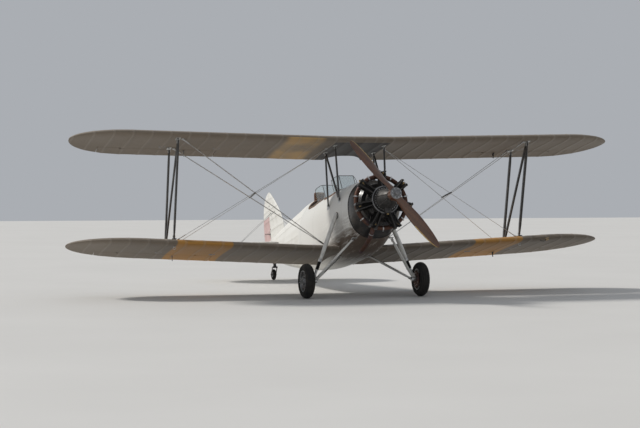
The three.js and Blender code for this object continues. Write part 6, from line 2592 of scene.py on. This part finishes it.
    def inspection_rings(self):
        """Rings with covers and four screws under each wing."""
        ring = ring_of([(0.040, 0), (0.054, 0), (0.054, 0.0016), (0.050, 0.0026), (0.044, 0.0026),
                        (0.040, 0.0016)], sides=40)
        cover = plug(0.0415, 0.0008, 0.0018, sides=40)
        form, screws = Form(), []
        for _, wing in LEVELS:
            for out in INSPECTION_OUT:
                place = skin_frame(wing, out, INSPECTION_SHARE, False)
                form.add(moved(ring, place)).add(moved(cover, place), 1)
                screws += [standing(place, (0.047 * math.cos(angle), 0.047 * math.sin(angle), 0.0026))
                           for angle in turns(4, 0.5)]
        pair("inspection_rings_{}", form, [wheel_metal(), upper_cloth()])
        rivets("inspection_ring_screws", both_sides(screws), 0.0026, 0.0014, bright_steel())

    def horns(self):
        """Horns below the ailerons, over and under the elevator and on both sides of the rudder."""
        for level, wing, out in (("lower", LOWER, 2.760), ("upper", UPPER, 2.640)):
            form = horn(skin_frame(wing, out, 0.800, False), 0.075)
            pair(level + "_aileron_horn_{}", form, [strut_black()], body=level + "_aileron_{}")
        places = [posed((x, TAIL_HINGE + 0.050, TAIL_MIDDLE + lift), turn, "Y") for x in (-0.300, 0.300)
                  for turn, lift in ((0, 0.026), (math.pi, -0.026))]
        piece("elevator_horns", joined(*(horn(place, 0.095) for place in places)), [strut_black()],
              body="elevator")
        places = [posed((side * 0.024, RUDDER_HINGE + 0.050, 0.640), side * math.pi / 2, "Y")
                  for side in (-1, 1)]
        piece("rudder_horns", joined(*(horn(place, 0.090) for place in places)), [strut_black()],
              body="rudder")

    def fuel_cap(self):
        """Filler neck with its cap and a chain on the deck ahead of the front cockpit."""
        aft, top = TANK_CAP_AFT, crown_height(0, TANK_CAP_AFT)
        form = Form(lathe([(0, -0.010), (0.058, -0.010), (0.060, 0.003), (0.046, 0.006), (0.044, 0.016),
                           (0.050, 0.018), (0.052, 0.034), (0.047, 0.040), (0.020, 0.042), (0, 0.042)],
                          (0, aft, top), UP, 48))
        for angle in (0, math.pi / 2):
            form.add(block((0.104, 0.012, 0.010), posed((0, aft, top + 0.040), angle, "Z"), 0.004, 2))
        piece("fuel_cap", form, [brass()])
        chain = curved([(0.050, aft + 0.010, top + 0.024), (0.075, aft + 0.030, top + 0.004),
                        (0.100, aft + 0.060, crown_height(0.100, aft) + 0.002),
                        (0.115, aft + 0.090, crown_height(0.115, aft) + 0.001)], 8)
        stitched("fuel_cap_chain", [chain], 0.0052, 0.0018, 0.0062, bright_steel(), "bright_steel")

    def foot_steps(self):
        """A step of bent tube on each side of the fuselage, with a rubber tread."""
        wall = hull_side(STEP_AFT, STEP_UP).x
        half = ((-0.010, 0.050, 0.0), (0.075, 0.050, -0.050), (0.095, 0.035, -0.058))
        bar = [(wall + x, STEP_AFT - y, STEP_UP + z) for x, y, z in half]
        bar += [(wall + x, STEP_AFT + y, STEP_UP + z) for x, y, z in half[::-1]]
        form = Form(tube(curved(bar, 6), 0.0085, 12))
        tread = [(wall + 0.095, STEP_AFT + y, STEP_UP - 0.058) for y in (-0.032, 0.032)]
        form.add(tube(tread, 0.013, 16), 1)
        for y in (-0.050, 0.050):
            form.add(lathe([(0, -0.004), (0.020, -0.004), (0.020, 0.003), (0.012, 0.006), (0, 0.006)],
                           hull_side(STEP_AFT + y, STEP_UP), (1, 0, -0.2), 20))
        pair("foot_steps_{}", form, [strut_white(), rubber()])

    def tie_down_rings(self):
        """A ring below each lower wing, where the struts stand."""
        loop = [(0.020 * math.cos(angle), 0, 0.026 + 0.020 * math.sin(angle)) for angle in turns(24, more=1)]
        shapes = (tube(loop, 0.0042, 10), block((0.040, 0.030, 0.004), (0, 0, 0.001), 0.001),
                  block((0.008, 0.014, 0.014), (0, 0, 0.007), 0.002))
        place = skin_frame(LOWER, STRUT_OUT, FRONT_SPAR, False)
        pair("tie_down_rings_{}", Form(*(moved(shape, place) for shape in shapes)), [bright_steel()])

    def airspeed_head(self):
        """Two brass tubes ahead of the port lower wing, on a bent arm."""
        mast = LOWER.on_skin(1, AIRSPEED_OUT, 0.020, False)
        arm = [mast + Vector((0, y, z)) for y, z in ((0.080, 0.012), (0.030, -0.030), (-0.060, -0.052),
                                                     (-0.150, -0.052))]
        form = Form(tube(curved(arm, 6), 0.0062, 12))
        for up in (-0.052, -0.026):
            tip = mast + Vector((0, -0.150, up))
            profile = ((0.030, 0.0062), (0, 0.0062), (-0.090, 0.0062), (-0.104, 0.003))
            form.add(turned(tip, AFT, profile, 12), 1)
        form.add(block((0.012, 0.034, 0.040), mast + Vector((0, -0.130, -0.039)), 0.004, 2))
        piece("airspeed_head", form, [strut_black(), brass()])


# Stage
CAMERA = Vector((-8.476, -26.823, 1.709))
AIM = Vector((-0.05, 0.0, 1.27))
LENS = 94
SENSOR = 36
SUN_FROM = Vector((-0.62, 0.46, 0.64))
SUN_ENERGY = 2.7
SUN_ANGLE = math.radians(9)
SUN_COLOUR = (1.0, 0.97, 0.92)
SKY_COLOUR = (0.84, 0.88, 0.94, 1)
SKY_STRENGTH = 0.48
FLOOR_REACH = 60.0


class BIPLANE_OT_stage(bpy.types.Operator):
    """Pale floor, soft light from over the starboard wing, and the camera where the photograph was taken"""

    bl_idname = "biplane.stage"
    bl_label = "Stage"

    def execute(self, context):
        scene = context.scene
        mesh = bpy.data.meshes.new("floor")
        corners = ((-1, -1), (1, -1), (1, 1), (-1, 1))
        mesh.from_pydata([(x * FLOOR_REACH, y * FLOOR_REACH, 0) for x, y in corners], [], [(0, 1, 2, 3)])
        mesh.materials.append(pale_floor())
        object_of("floor", mesh)
        sun = bpy.data.lights.new("sun", "SUN")
        sun.energy = SUN_ENERGY
        sun.angle = SUN_ANGLE
        sun.color = SUN_COLOUR
        object_of("sun", sun).rotation_euler = SUN_FROM.to_track_quat("Z", "Y").to_euler()
        world = bpy.data.worlds.new("studio")
        world.use_nodes = True
        sky = world.node_tree.nodes["Background"].inputs
        sky["Color"].default_value = SKY_COLOUR
        sky["Strength"].default_value = SKY_STRENGTH
        scene.world = world
        scene.view_settings.view_transform = "Standard"
        lens = bpy.data.cameras.new("camera")
        lens.lens = LENS
        lens.sensor_width = SENSOR
        lens.clip_end = 300
        camera = object_of("camera", lens)
        camera.location = CAMERA
        camera.rotation_euler = (AIM - CAMERA).to_track_quat("-Z", "Y").to_euler()
        scene.camera = camera
        return {"FINISHED"}


class BIPLANE_PT_panel(bpy.types.Panel):
    """Lists the steps that dress the aircraft"""

    bl_idname = "BIPLANE_PT_panel"
    bl_label = "Biplane"
    bl_space_type = "VIEW_3D"
    bl_region_type = "UI"
    bl_category = "Biplane"

    def draw(self, context):
        for operator in OPERATORS:
            self.layout.operator(operator.bl_idname)


OPERATORS = (BIPLANE_OT_wings, BIPLANE_OT_fuselage, BIPLANE_OT_tail, BIPLANE_OT_engine, BIPLANE_OT_propeller,
             BIPLANE_OT_bracing, BIPLANE_OT_gear, BIPLANE_OT_tail_wheel, BIPLANE_OT_cockpits,
             BIPLANE_OT_details, BIPLANE_OT_stage)
CLASSES = (BiplaneSizes, BiplaneColours, *OPERATORS, BIPLANE_PT_panel)


def register():
    for cls in CLASSES:
        bpy.utils.register_class(cls)
    bpy.types.Scene.biplane_sizes = PointerProperty(type=BiplaneSizes)
    bpy.types.Scene.biplane_colours = PointerProperty(type=BiplaneColours)


def unregister():
    del bpy.types.Scene.biplane_colours
    del bpy.types.Scene.biplane_sizes
    for cls in reversed(CLASSES):
        bpy.utils.unregister_class(cls)


def main():
    """Registers the add-on and runs its steps in order."""
    register()
    for operator in OPERATORS:
        group, name = operator.bl_idname.split(".")
        getattr(getattr(bpy.ops, group), name)()


if __name__ == "__main__":
    main()
